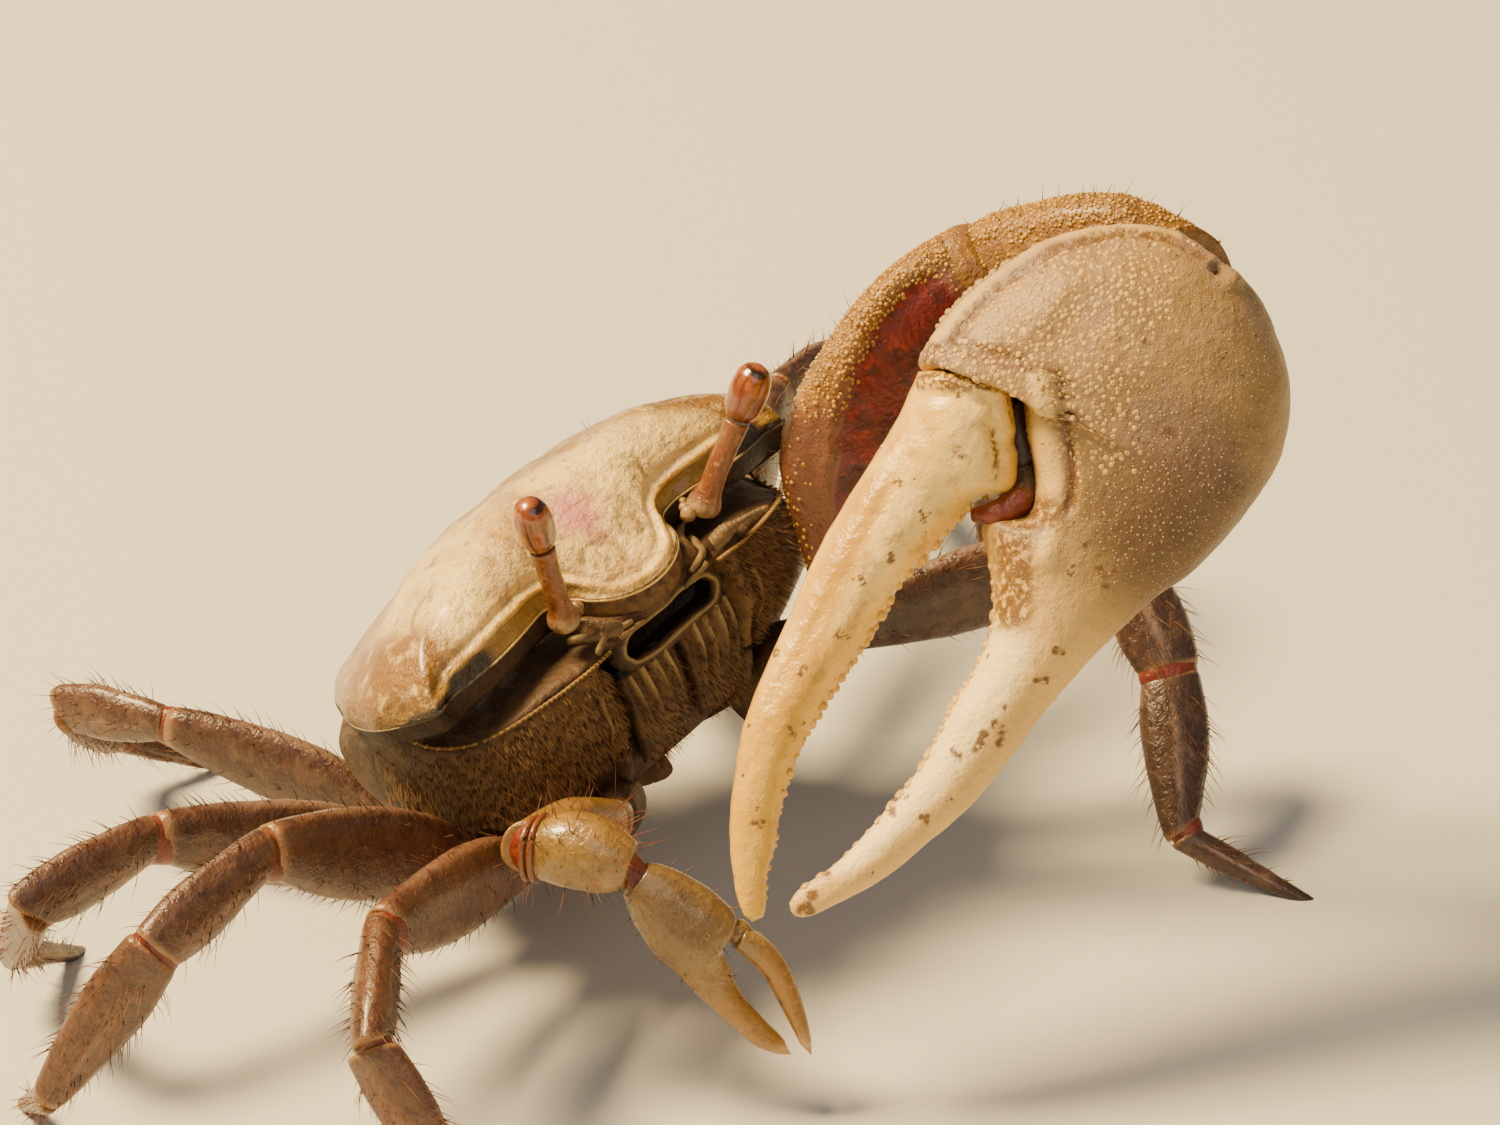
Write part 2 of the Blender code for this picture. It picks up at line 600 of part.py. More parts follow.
def biting_teeth(made, frame, edge, push, sizes, look):
    """A row of teeth along the biting edge, each of its own size, joined into the finger."""
    edge = np.asarray(edge, float)
    run = np.concatenate([[0], np.cumsum(np.linalg.norm(np.diff(edge, axis=0), axis=1))])
    at = np.linspace(0.08, 0.97, len(sizes)) * run[-1]
    spots = spline(run, edge, at)
    ahead = spline(run, edge, np.clip(at + 0.2, 0, run[-1])) - spline(run, edge, np.clip(at - 0.2, 0, run[-1]))
    pieces = []
    for spot, way, size in zip(spots, unit(ahead), sizes):
        out = np.array([-way[1], way[0]]) * push
        pieces.append(tooth(frame, spot, out, 0.42 * size, 0.36 * size, look))
    return union(made, pieces)


TOOTH_SIZES = [1.0, 0.8, 1.2, 0.9, 1.0, 1.3, 0.9, 1.1, 0.8, 1.0, 0.9, 0.75, 0.7]


def great_neck_root():
    """The point inside the palm where its neck starts, on the way to the arm."""
    return GREAT_WRIST + 2.4 * GREAT_ALONG + 0.4 * GREAT_RISE


def great_wrist_plane():
    """The plane in which the arm's carpus meets the palm's neck, halfway between their ways."""
    return between(GREAT_ARM[2] - GREAT_ARM[1], great_neck_root() - GREAT_ARM[2])


def make_great_claw(palm_look, finger_look):
    frame = (GREAT_WRIST, GREAT_ALONG, GREAT_RISE)
    palm = ladder("great_claw_palm", palm_look, frame, GREAT_PALM, count=16, tip=(36.6, 0.5))
    neck = [(0.0, 2.0, 1.6, 1.2), (0.4, 1.9, 1.6, 1.3), (1.0, 1.8, 1.6, 1.3)]
    stub = limb("neck", palm_look, GREAT_ARM[2] + STANCE, great_neck_root() + STANCE, GREAT_RISE, neck,
                start_cut=great_wrist_plane(), count=10, rings=4, start_gap=GAP)
    union(palm, [stub])
    edge = [row[0:2] for row in GREAT_PALM[16:]]
    biting_teeth(palm, frame, edge, 1.0, TOOTH_SIZES, palm_look)
    finger = ladder("great_claw_finger", finger_look, frame, GREAT_FINGER, count=14, tip=(38.3, 1.5))
    edge = [row[2:4] for row in GREAT_FINGER[4:]]
    biting_teeth(finger, frame, edge, -1.0, TOOTH_SIZES[::-1], finger_look)


def make_small_claw(look):
    frame = (SMALL_WRIST, SMALL_ALONG, SMALL_RISE)
    ladder("small_claw_palm", look, frame, SMALL_PALM, count=12, tip=(12.2, -0.1))
    ladder("small_claw_finger", look, frame, SMALL_FINGER, count=10, tip=(12.9, 0.6))


def make_arm(word, side, joints, sizes, bows, wrist, look):
    """Ischium, merus and carpus of a claw arm, ending in a flat face behind the wrist."""
    joints = joints + STANCE
    hip = hip_point(1, side)
    ways = [unit(joints[0] - hip), unit(joints[1] - joints[0]), unit(joints[2] - joints[1])]
    cuts = [ways[0], between(ways[0], ways[1]), between(ways[1], ways[2]), wrist]
    points = [hip + ways[0] * 1.3, *joints]
    for k, part in enumerate(("ischium", "merus", "carpus")):
        limb(f"{word}_arm_{part}", look, points[k], points[k + 1], sizes[k][0], sizes[k][1],
             start_cut=cuts[k], end_cut=cuts[k + 1], bow=bows[k], count=12, rings=8 if k else 4)


def make_eye(side, stalk_look, cornea_look):
    x, y, z = STALK_FOOT
    foot = from_body(np.array([x * side, y, z]))
    way = BODY_TURN @ unit(STALK_WAYS[side])
    word = "left" if side > 0 else "right"
    neck = foot + way * STALK_LENGTH
    stations = [(0.0, 0.72, 0.72, 0.72), (0.5, 0.60, 0.60, 0.60), (1.0, 0.66, 0.66, 0.66)]
    limb(f"eyestalk_{word}", stalk_look, foot, neck, (0, -1, 0.2), stations, count=8, rings=4, start_gap=0.0)
    stations = [(0.0, 0.70, 0.70, 0.70), (0.3, 1.02, 1.02, 0.98), (0.65, 0.95, 0.95, 0.92),
                (0.9, 0.60, 0.60, 0.58), (1.0, 0.30, 0.30, 0.30)]
    limb(f"cornea_{word}", cornea_look, neck, neck + way * CORNEA_LENGTH, (0, -1, 0.2), stations,
         count=12, rings=8, pointed=True, end_gap=0.1)


def make_mouthpart(side, look):
    """One outer maxilliped: a slightly bowed plate standing in the hollow of the mouth."""
    word = "left" if side > 0 else "right"
    gap = GAP / CARAPACE_WIDTH
    rings = []
    for z, half, thick in ((-0.142, 0.052, 0.010), (-0.150, 0.058, 0.017), (-0.200, 0.060, 0.021),
                           (-0.260, 0.058, 0.020), (-0.310, 0.052, 0.018), (-0.340, 0.044, 0.015),
                           (-0.352, 0.030, 0.010)):
        back = SHELL_CENTRE_Y - WALL_FRONT * wall_draw(z) + MOUTH_DEPTH - gap
        shape = oval(12, 3.0)
        middle = np.array([side * (0.008 + 0.060), back - thick - 0.003, z])
        ring = middle + np.column_stack([shape[:, 0] * half, shape[:, 1] * thick, 0 * shape[:, 0]])
        rings.append(from_body(ring))
    return add_mesh(f"maxilliped_{word}", *closed_loft(rings[::-1]), look)


def make_abdomen(look):
    """The narrow tail of a male, folded forward under the breastplate."""
    path = [(0.555, -0.150, 0.125), (0.553, -0.220, 0.125), (0.535, -0.290, 0.110), (0.500, -0.350, 0.095),
            (0.445, -0.399, 0.080), (0.370, -0.425, 0.066), (0.290, -0.436, 0.054), (0.210, -0.438, 0.044),
            (0.150, -0.435, 0.034), (0.120, -0.431, 0.020)]
    line = np.array([[0.0, y, z] for y, z, _ in path])
    ways = unit(np.gradient(line, axis=0))
    rings = []
    for at, way, (_, _, half) in zip(line, ways, path):
        shape = oval(10, 3.0)
        down = np.cross([1.0, 0.0, 0.0], way)
        ring = at + shape[:, :1] * [half, 0, 0] + shape[:, 1:] * down * 0.020
        rings.append(from_body(ring))
    return add_mesh("abdomen", *closed_loft(rings[::-1]), look)


def make_antenna(side, look):
    word = "left" if side > 0 else "right"
    foot = from_body(np.array([0.128 * side, -0.132, -0.060]))
    way = BODY_TURN @ unit([0.80 * side, -0.50, 0.10])
    stations = [(0.0, 0.42, 0.42, 0.42), (0.3, 0.40, 0.40, 0.40), (0.4, 0.27, 0.27, 0.27), (1.0, 0.25, 0.25, 0.25)]
    limb(f"antenna_{word}", look, foot, foot + way * 3.6, (0, 0, 1), stations, count=8, rings=6,
         bow=0.3, pointed=True)


def clear_scene():
    for old in list(bpy.data.objects):
        bpy.data.objects.remove(old)


def build():
    clear_scene()
    shell_look = material("carapace_shell", (0.62, 0.52, 0.42), 0.35)
    face_look = material("hairy_face", (0.16, 0.10, 0.05), 0.6)
    leg_look = material("walking_leg", (0.24, 0.13, 0.10), 0.35)
    arm_look = material("claw_arm", (0.50, 0.28, 0.14), 0.4)
    palm_look = material("great_claw", (0.70, 0.60, 0.46), 0.45)
    finger_look = material("ivory_finger", (0.80, 0.66, 0.40), 0.35)
    small_look = material("small_claw", (0.42, 0.30, 0.16), 0.35)
    stalk_look = material("eyestalk", (0.52, 0.27, 0.10), 0.3)
    cornea_look = material("cornea", (0.32, 0.16, 0.07), 0.15)
    make_carapace(shell_look)
    make_shell(face_look)
    sternum = make_sternum(face_look)
    bosses = []
    for number in (2, 3, 4, 5):
        for side in (1, -1):
            make_leg(number, side, leg_look)
            girth = LEG_GIRTH[number]
            hip = leg_joints(number, side)
            way = unit(hip[1] - hip[0])
            bosses.append(boss(hip[0], way, 1.25 * girth, 1.0 * girth, 3.0 - GAP / 2, face_look))
    great_sizes = [((0, 0, 1), [(0, 1.5, 1.5, 1.35), (1, 1.6, 1.6, 1.4)]),
                   ((-0.6, 0.3, 0.3), [(0, 1.6, 1.6, 1.4), (0.2, 3.8, 2.4, 1.9), (0.4, 5.6, 2.8, 2.1),
                                       (0.65, 5.4, 2.9, 2.1), (0.85, 4.2, 2.4, 2.1), (1, 2.4, 1.9, 1.8)]),
                   ((-0.4, 0.79, 0.47), [(0, 2.0, 1.9, 1.7), (0.3, 2.8, 2.4, 2.1), (0.7, 3.4, 2.5, 2.1),
                                        (1, 2.7, 1.8, 1.4)])]
    make_arm("great", 1, GREAT_ARM, great_sizes, (0, 1.2, 0.8), great_wrist_plane(), arm_look)
    small_sizes = [((0, 0, 1), [(0, 1.2, 1.2, 1.0), (1, 1.15, 1.15, 1.0)]),
                   ((0, 0, 1), [(0, 1.2, 1.2, 1.0), (0.5, 1.8, 1.7, 1.3), (1, 1.3, 1.3, 1.1)]),
                   ((0, 0, 1), [(0, 1.3, 1.3, 1.1), (0.35, 1.9, 1.7, 1.6), (0.75, 1.8, 1.7, 1.6), (1, 1.2, 1.1, 1.0)])]
    make_arm("small", -1, SMALL_ARM, small_sizes, (0, 0, 0.3), SMALL_ALONG, small_look)
    for side in (1, -1):
        hip = hip_point(1, side)
        arm = (GREAT_ARM if side > 0 else SMALL_ARM)[0] + STANCE
        high = 1.6 if side > 0 else 1.3
        bosses.append(boss(hip, unit(arm - hip), high, high * 0.85, 1.3 - GAP / 2, face_look))
        make_eye(side, stalk_look, cornea_look)
        make_mouthpart(side, face_look)
        make_antenna(side, stalk_look)
    union(sternum, bosses)
    make_abdomen(face_look)
    make_great_claw(palm_look, finger_look)
    make_small_claw(small_look)


build()
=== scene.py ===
# %% [markdown]
# A fiddler crab, life size, made as a lesson in Blender. A male crab stands on eight thin legs and
# holds one great claw across its front. Its skeleton is on the outside: hard glossy plates, joined by
# soft red skin, with beads and short bristles along their edges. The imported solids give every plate's
# place and size. Here each plate is worked out again on a fine grid from the same few sizes, so that
# it stays where its solid is, and then gets its beads, grooves, hairs and colours.

# %% Load the solids
import math

import bpy
import mathutils
import numpy as np
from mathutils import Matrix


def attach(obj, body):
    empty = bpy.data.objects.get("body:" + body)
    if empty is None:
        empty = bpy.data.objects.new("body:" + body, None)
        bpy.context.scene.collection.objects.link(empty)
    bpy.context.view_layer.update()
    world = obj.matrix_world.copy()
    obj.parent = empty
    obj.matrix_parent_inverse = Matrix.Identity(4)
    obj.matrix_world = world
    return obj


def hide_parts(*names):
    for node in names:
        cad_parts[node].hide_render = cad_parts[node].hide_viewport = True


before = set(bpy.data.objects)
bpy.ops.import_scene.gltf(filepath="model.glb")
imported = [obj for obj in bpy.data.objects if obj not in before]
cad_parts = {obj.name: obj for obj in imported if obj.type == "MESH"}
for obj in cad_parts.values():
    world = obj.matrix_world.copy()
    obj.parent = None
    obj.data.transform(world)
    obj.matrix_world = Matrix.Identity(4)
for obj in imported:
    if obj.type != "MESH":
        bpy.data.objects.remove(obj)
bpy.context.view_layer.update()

# %% [markdown]
# Shapes are worked out in millimetres and turned to metres when a mesh is made. Lengths on the body
# are given in widths of its back shell, which is 28 mm wide. The body is pitched nose up and rolled a
# little, so its own frame (x to its left, y to its back, z up through the shell) is turned into the
# frame that the solids are in.

# %% The body's place
MM = 0.001  # metres
WIDTH = 28.0  # of the back shell, mm
GAP = 0.3  # between two plates, mm
STANCE = np.array([-4.26, -0.55, 0.0])  # from the origin to under the body's own origin, mm
BODY_HEIGHT = 20.0
PITCH, ROLL = math.radians(-24.0), math.radians(-12.0)
WORDS = {1: "left", -1: "right"}


def unit(v):
    """Vectors brought to length 1."""
    v = np.asarray(v, float)
    return v / np.maximum(np.linalg.norm(v, axis=-1, keepdims=True), 1e-12)


def body_turn():
    """The pitch about x after the roll about y, as one matrix."""
    cp, sp, cr, sr = math.cos(PITCH), math.sin(PITCH), math.cos(ROLL), math.sin(ROLL)
    return np.array([[1, 0, 0], [0, cp, -sp], [0, sp, cp]]) @ np.array([[cr, 0, sr], [0, 1, 0], [-sr, 0, cr]])


BODY_TURN = body_turn()


def from_body(points):
    """Turns body points in widths into millimetres in the solids' frame."""
    return (np.asarray(points, float) * WIDTH) @ BODY_TURN.T + STANCE + [0.0, 0.0, BODY_HEIGHT]


print("tip of the front, mm:", from_body([0, -0.13, -0.04]).round(2))

# %% [markdown]
# Most shapes here are tables of a few sizes with a smooth curve through them. A cubic Hermite curve
# passes through every value and takes its slope from the two neighbours, so it never wiggles far.
# Value noise, random numbers on a lattice blended smoothly, gives the small unevenness of a grown
# shell. Its numbers come from a fixed hash, so each run gives the same shell.


# %% Curves and noise
def spline(knots, values, at):
    """Cubic Hermite curve through the values, each slope taken from its two neighbours."""
    knots, values = np.asarray(knots, float), np.asarray(values, float)
    at = np.clip(np.asarray(at, float), knots[0], knots[-1])
    flat = values.ndim == 1
    values = values[:, None] if flat else values
    slopes = np.gradient(values, knots, axis=0)
    i = np.clip(np.searchsorted(knots, at, side="right") - 1, 0, len(knots) - 2)
    step = (knots[i + 1] - knots[i])[:, None]
    t = (at[:, None] - knots[i][:, None]) / step
    found = ((2 * t**3 - 3 * t**2 + 1) * values[i] + (t**3 - 2 * t**2 + t) * step * slopes[i]
             + (3 * t**2 - 2 * t**3) * values[i + 1] + (t**3 - t**2) * step * slopes[i + 1])
    return found[:, 0] if flat else found


def noise(points, size, seed=1):
    """Value noise from 0 to 1: lattice numbers a given size apart, blended by 3f^2 - 2f^3."""
    p = np.asarray(points, float) / size
    low = np.floor(p).astype(np.int64)
    f = p - low
    f = f * f * (3 - 2 * f)
    total = np.zeros(p.shape[:-1])
    for corner in np.ndindex(2, 2, 2):
        c = low + np.array(corner)
        h = c[..., 0] * 73856093 ^ c[..., 1] * 19349663 ^ c[..., 2] * 83492791 ^ seed * 50331653
        h = (h ^ (h >> 13)) * 1274126177 & 0x7FFFFFFF
        h = (h ^ (h >> 15)) & 0xFFFF
        weight = np.prod(np.where(np.array(corner) == 1, f, 1 - f), axis=-1)
        total += weight * h / 65535.0
    return total


def hump(x, middle, spread):
    """A bell curve: exp(-((x - middle) / spread)^2)."""
    return np.exp(-((np.asarray(x) - middle) / spread) ** 2)


def ramp(x, low, high):
    """A smooth step from 0 at low to 1 at high."""
    t = np.clip((np.asarray(x, float) - low) / (high - low), 0, 1)
    return t * t * (3 - 2 * t)


def uneven(points, depth, size, seed):
    """Value noise centred on 0, from -depth / 2 to depth / 2."""
    return depth * (noise(points, size, seed) - 0.5)


def turns(count):
    """Angles of even steps round a circle."""
    return np.arange(count) * 2 * math.pi / count


def superellipse(angle, power):
    """Cosine and sine with their sizes raised to a power, which squares a circle's corners."""
    return (np.sign(f) * np.abs(f) ** power for f in (np.cos(angle), np.sin(angle)))


def resampled(table, count):
    """The smooth curve through a table's rows, read at even steps."""
    return spline(np.arange(len(table)), table, np.linspace(0, len(table) - 1, count))


def run_along(path):
    """The distance along a line of points, from 0."""
    return np.concatenate([[0], np.cumsum(np.linalg.norm(np.diff(path, axis=0), axis=1))])


print("noise sample:", noise(np.array([[0.3, 0.7, 2.2]]), 1.0).round(3))

# %% [markdown]
# A plate is a grid of points: rings round it, one after another along it. Four neighbours make a face,
# and a pole at each end closes it. A skin below is such a grid made into points, faces and marks,
# where a mark is a number at each point, such as how much rim or furrow it has. The marks go into the
# mesh as attributes, and the finishes read them, so a colour follows the form it belongs to.


# %% Skins from grids
def grid_normals(grid):
    """Unit normals of a grid of closed rings: the way round crossed with the way along."""
    around = np.roll(grid, -1, 1) - np.roll(grid, 1, 1)
    return unit(np.cross(around, np.gradient(grid, axis=0)))


def pushed(grid, lift):
    """A grid moved along its normals by a distance at each point."""
    return grid + grid_normals(grid) * lift[..., None]


def ring_faces(rows, cols, closed=False):
    """Four-sided faces between rings, and between the last and the first if closed."""
    i, j = np.meshgrid(np.arange(rows - (not closed)), np.arange(cols), indexing="ij")
    n, k = (i + 1) % rows, (j + 1) % cols
    return np.stack([i * cols + j, i * cols + k, n * cols + k, n * cols + j], -1).reshape(-1, 4)


def skin(grid, marks=None, start=None, end=None):
    """A closed skin over a grid of rings, with a pole, the ring's middle if none is given, at each end."""
    rows, cols = grid.shape[:2]
    start = grid[0].mean(0) if start is None else start
    end = grid[-1].mean(0) if end is None else end
    points = np.concatenate([grid.reshape(-1, 3), [start], [end]])
    ring = np.arange(cols)
    after, last = (ring + 1) % cols, (rows - 1) * cols
    caps = np.concatenate([np.stack([after, ring, np.full(cols, rows * cols)], -1),
                           np.stack([last + ring, last + after, np.full(cols, rows * cols + 1)], -1)])
    full = {}
    for name, mark in (marks or {}).items():
        mark = np.broadcast_to(mark, (rows, cols))
        full[name] = np.concatenate([mark.ravel(), [mark[0].mean()], [mark[-1].mean()]])
    return points, [ring_faces(rows, cols), caps], full


def join(skins):
    """Several skins as one, with a mark that a skin lacks taken as 0."""
    names = sorted({name for s in skins for name in s[2]})
    points, faces, offset = [], [], 0
    marks = {name: [] for name in names}
    for p, f, m in skins:
        points.append(p)
        faces += [part + offset for part in f]
        offset += len(p)
        for name in names:
            marks[name].append(m.get(name, np.zeros(len(p))))
    return np.concatenate(points), faces, {name: np.concatenate(v) for name, v in marks.items()}


def put_piece(name, made, look, nodes=(), body="root", uv=None):
    """One object from a skin in millimetres: its mesh, marks, finish, body and replaced nodes."""
    points, faces, marks = made
    mesh = bpy.data.meshes.new(name)
    mesh.vertices.add(len(points))
    mesh.vertices.foreach_set("co", (points * MM).astype(np.float32).ravel())
    corners = np.concatenate([f.ravel() for f in faces]).astype(np.int32)
    sizes = np.concatenate([np.full(len(f), f.shape[1]) for f in faces])
    starts = np.concatenate([[0], np.cumsum(sizes)[:-1]]).astype(np.int32)
    mesh.loops.add(len(corners))
    mesh.loops.foreach_set("vertex_index", corners)
    mesh.polygons.add(len(sizes))
    mesh.polygons.foreach_set("loop_start", starts)
    mesh.update(calc_edges=True)
    for key, values in marks.items():
        layer = mesh.attributes.new(key, "FLOAT", "POINT")
        layer.data.foreach_set("value", np.asarray(values, np.float32))
    if uv is not None:
        mesh.uv_layers.new(name="OFBake").data.foreach_set("uv", uv[corners].astype(np.float32).ravel())
    mesh.validate()
    mesh.shade_smooth()
    mesh.materials.append(look)
    piece = bpy.data.objects.new(name, mesh)
    bpy.context.scene.collection.objects.link(piece)
    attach(piece, body)
    if nodes:
        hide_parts(*nodes)
    print(f"{name}: {sum(len(f) * (f.shape[1] - 2) for f in faces)} triangles")


# %% [markdown]
# Beads and bristles repeat by the hundred, so each is one small template set down many times by array
# sums. A bead is a low dome of six sides or more. A bristle is a bent cone of three sides. Their roots are
# picked on a skin's faces at random, by area and by a weight, and thinned so that no two share a cell
# of a given size, as real granules keep apart.


# %% Beads and bristles
def scatter(grid, weight, apart, tries, seed):
    """Picks spots on a grid of rings: returns places, normals, ways along, and (row, column) shares."""
    rng = np.random.default_rng(seed)
    rows, cols = grid.shape[:2]
    next_col = np.roll(grid, -1, 1)
    a, b = next_col[:-1] - grid[:-1], grid[1:] - grid[:-1]
    area = np.linalg.norm(np.cross(a, b), axis=-1) * np.broadcast_to(weight, (rows, cols))[:-1]
    chosen = rng.choice(area.size, tries, p=area.ravel() / area.sum())
    r, c = np.unravel_index(chosen, area.shape)
    u, v = rng.random((2, tries))
    n = (c + 1) % cols
    low = grid[r, c] * (1 - u)[:, None] + grid[r, n] * u[:, None]
    high = grid[r + 1, c] * (1 - u)[:, None] + grid[r + 1, n] * u[:, None]
    spots = low * (1 - v)[:, None] + high * v[:, None]
    cells = np.floor(spots / apart).astype(np.int64)
    keep = np.sort(np.unique(cells, axis=0, return_index=True)[1])
    normals = grid_normals(grid)[r, c][keep]
    return spots[keep], normals, unit(high - low)[keep], np.stack([(r + v) / rows, (c + u) / cols], 1)[keep]


def circles(ways, sides):
    """Unit circles square to each way: cos(angle) * a + sin(angle) * b, with a and b square to the way."""
    helper = np.where(np.abs(ways[:, 2:3]) < 0.8, [[0.0, 0.0, 1.0]], [[1.0, 0.0, 0.0]])
    a = unit(np.cross(ways, helper))
    angle = turns(sides)[:, None]
    return np.cos(angle) * a[:, None] + np.sin(angle) * np.cross(ways, a)[:, None]


def beads(spots, normals, radius, height, marks=None, sides=6):
    """Low domes: rings of shares (radius, height) (1, -.5), (.9, .35), (.5, .85) and a top, closed below."""
    radius, height = (np.broadcast_to(v, len(spots))[:, None] for v in (radius, height))
    out = circles(normals, sides)
    rings = [spots[:, None] + out * (radius * wide)[:, None] + normals[:, None] * (height * up)[:, None]
             for wide, up in ((1.0, -0.5), (0.9, 0.35), (0.5, 0.85))]
    return strewn(np.stack(rings, 1), spots + normals * height, marks)


def bristles(spots, ways, bends, length, thick, marks=None, levels=(0.0, 0.45, 0.8)):
    """Bent cones: middle = root + way * length * s + bend * length * s^2, radius thick * (1 - s)^0.7."""
    length = np.broadcast_to(length, len(spots))[:, None]
    out = circles(ways, 3)
    rings = [(spots + (ways * s + bends * s * s) * length)[:, None] + out * (thick * (1 - s) ** 0.7)
             for s in levels]
    return strewn(np.stack(rings, 1), spots + (ways + bends) * length, marks, levels)


def strewn(rings, tops, marks=None, levels=None):
    """Many small closed cones as one skin, from rings of shape (things, levels, sides, 3) and tops."""
    things, steps, sides = rings.shape[:3]
    roots = rings[:, 0].mean(1)
    points = np.concatenate([rings.reshape(things, -1, 3), tops[:, None], roots[:, None]], 1)
    each = points.shape[1]
    one = []
    for k in range(steps - 1):
        for i in range(sides):
            j = (i + 1) % sides
            low, high = k * sides, (k + 1) * sides
            one += [(low + i, low + j, high + j), (low + i, high + j, high + i)]
    last = (steps - 1) * sides
    one += [(last + i, last + (i + 1) % sides, each - 2) for i in range(sides)]
    one += [((i + 1) % sides, i, each - 1) for i in range(sides)]
    faces = (np.array(one)[None] + (np.arange(things) * each)[:, None, None]).reshape(-1, 3)
    full = {}
    for name, values in (marks or {}).items():
        full[name] = np.repeat(np.broadcast_to(values, things), each)
    if levels is not None:
        tip = np.concatenate([np.repeat(levels, sides), [1.0, 0.0]])
        full["tip"] = np.tile(tip, things)
    return points.reshape(-1, 3), [faces], full


BRISTLE_POINTS = 11  # three rings of three, a tip and a root


def hair_uv(shares):
    """Each hair's own patch, 0.003 across, at its root's place on the unwrapped skin: column, row."""
    turn = turns(BRISTLE_POINTS)
    patch = 0.0015 * np.stack([np.cos(turn), np.sin(turn)], 1)
    roots = np.clip(shares[:, ::-1], 0.002, 0.998)
    return (roots[:, None] + patch[None]).reshape(-1, 2)


# %% [markdown]
# Crab shell is chitin stiffened with lime, laid down in layers and waxed on the outside. To the eye
# it is a mottled colour under a thin clear gloss, so each finish below is a base colour, layers of
# other colours laid on by masks, a coat, and a bump from two or three grain sizes. A mask is a mark of
# the mesh, a noise or a cell pattern, stretched between two levels, and several masks multiply.
# Sizes are in millimetres. Colours are the sRGB hex values a picture program shows, turned to linear.


# %% Finishes
def colour(text):
    """An sRGB hex colour as linear RGBA."""
    channels = [int(text[i:i + 2], 16) / 255 for i in (0, 2, 4)]
    return (*[c / 12.92 if c <= 0.04045 else ((c + 0.055) / 1.055) ** 2.4 for c in channels], 1.0)


def add(tree, kind, sockets=None, **settings):
    """Adds one node: settings are its properties, sockets its inputs, each a number or another's output."""
    node = tree.nodes.new(kind)
    for key, value in settings.items():
        setattr(node, key, value)
    for key, value in (sockets or {}).items():
        if isinstance(value, bpy.types.NodeSocket):
            tree.links.new(value, node.inputs[key])
        else:
            node.inputs[key].default_value = value
    return node


def mask(tree, where, parts):
    """A 0 to 1 socket, the product of its parts. Each is (mark's name, low, high), or (size in mm, low,
    high) for a noise, with the size below 0 for cells."""
    found = None
    for what, low, high in parts:
        if isinstance(what, str):
            raw = add(tree, "ShaderNodeAttribute", attribute_name=what).outputs["Fac"]
        elif what > 0:
            raw = add(tree, "ShaderNodeTexNoise", {"Vector": where, "Scale": 1 / (what * MM), "Detail": 3.0,
                                                   "Roughness": 0.6}).outputs["Fac"]
        else:
            cells = add(tree, "ShaderNodeTexVoronoi", {"Vector": where, "Scale": -1 / (what * MM)})
            raw = cells.outputs["Distance"]
        stretched = add(tree, "ShaderNodeMapRange", {"Value": raw, "From Min": low, "From Max": high},
                        interpolation_type="SMOOTHSTEP").outputs["Result"]
        found = stretched if found is None else multiplied(tree, found, stretched)
    return found


def multiplied(tree, one, other):
    """The product of two sockets, or of a socket and a number."""
    return add(tree, "ShaderNodeMath", {0: one, 1: other}, operation="MULTIPLY").outputs[0]


SOFT_DEPTH = 0.8  # mm that light spreads within soft skin and eyes


def finish(name, base, layers, bumps, roughness, rough_mark=None, coat=0.0, coat_roughness=0.12, ior=1.55,
           soft=0.0):
    """A shell finish. Layers are (hex, strength, masks), bumps (height in mm, masks)."""
    look = bpy.data.materials.new(name)
    look.use_nodes = True
    tree = look.node_tree
    shader = tree.nodes["Principled BSDF"]
    where = add(tree, "ShaderNodeTexCoord").outputs["Object"]
    shown = colour(base)
    for text, strength, *parts in layers:
        amount = multiplied(tree, mask(tree, where, parts), strength)
        mixed = add(tree, "ShaderNodeMix", {0: amount, 6: shown, 7: colour(text)}, data_type="RGBA")
        shown = mixed.outputs[2]
    tree.links.new(shown, shader.inputs["Base Color"])
    sockets = {}
    for height, *parts in bumps:
        sockets.update({"Height": mask(tree, where, parts), "Distance": height * MM, "Strength": 1.0})
        sockets["Normal"] = add(tree, "ShaderNodeBump", sockets).outputs["Normal"]
    if bumps:
        tree.links.new(sockets["Normal"], shader.inputs["Normal"])
    if rough_mark:
        other, *parts = rough_mark
        spread = add(tree, "ShaderNodeMapRange", {"Value": mask(tree, where, parts), "To Min": roughness,
                                                  "To Max": other}).outputs["Result"]
        tree.links.new(spread, shader.inputs["Roughness"])
    for socket, value in (("Roughness", roughness), ("IOR", ior), ("Coat Weight", coat),
                          ("Coat Roughness", coat_roughness), ("Subsurface Weight", soft),
                          ("Subsurface Scale", SOFT_DEPTH * MM), ("Subsurface Radius", (1.0, 0.5, 0.3))):
        shader.inputs[socket].default_value = value
    return look
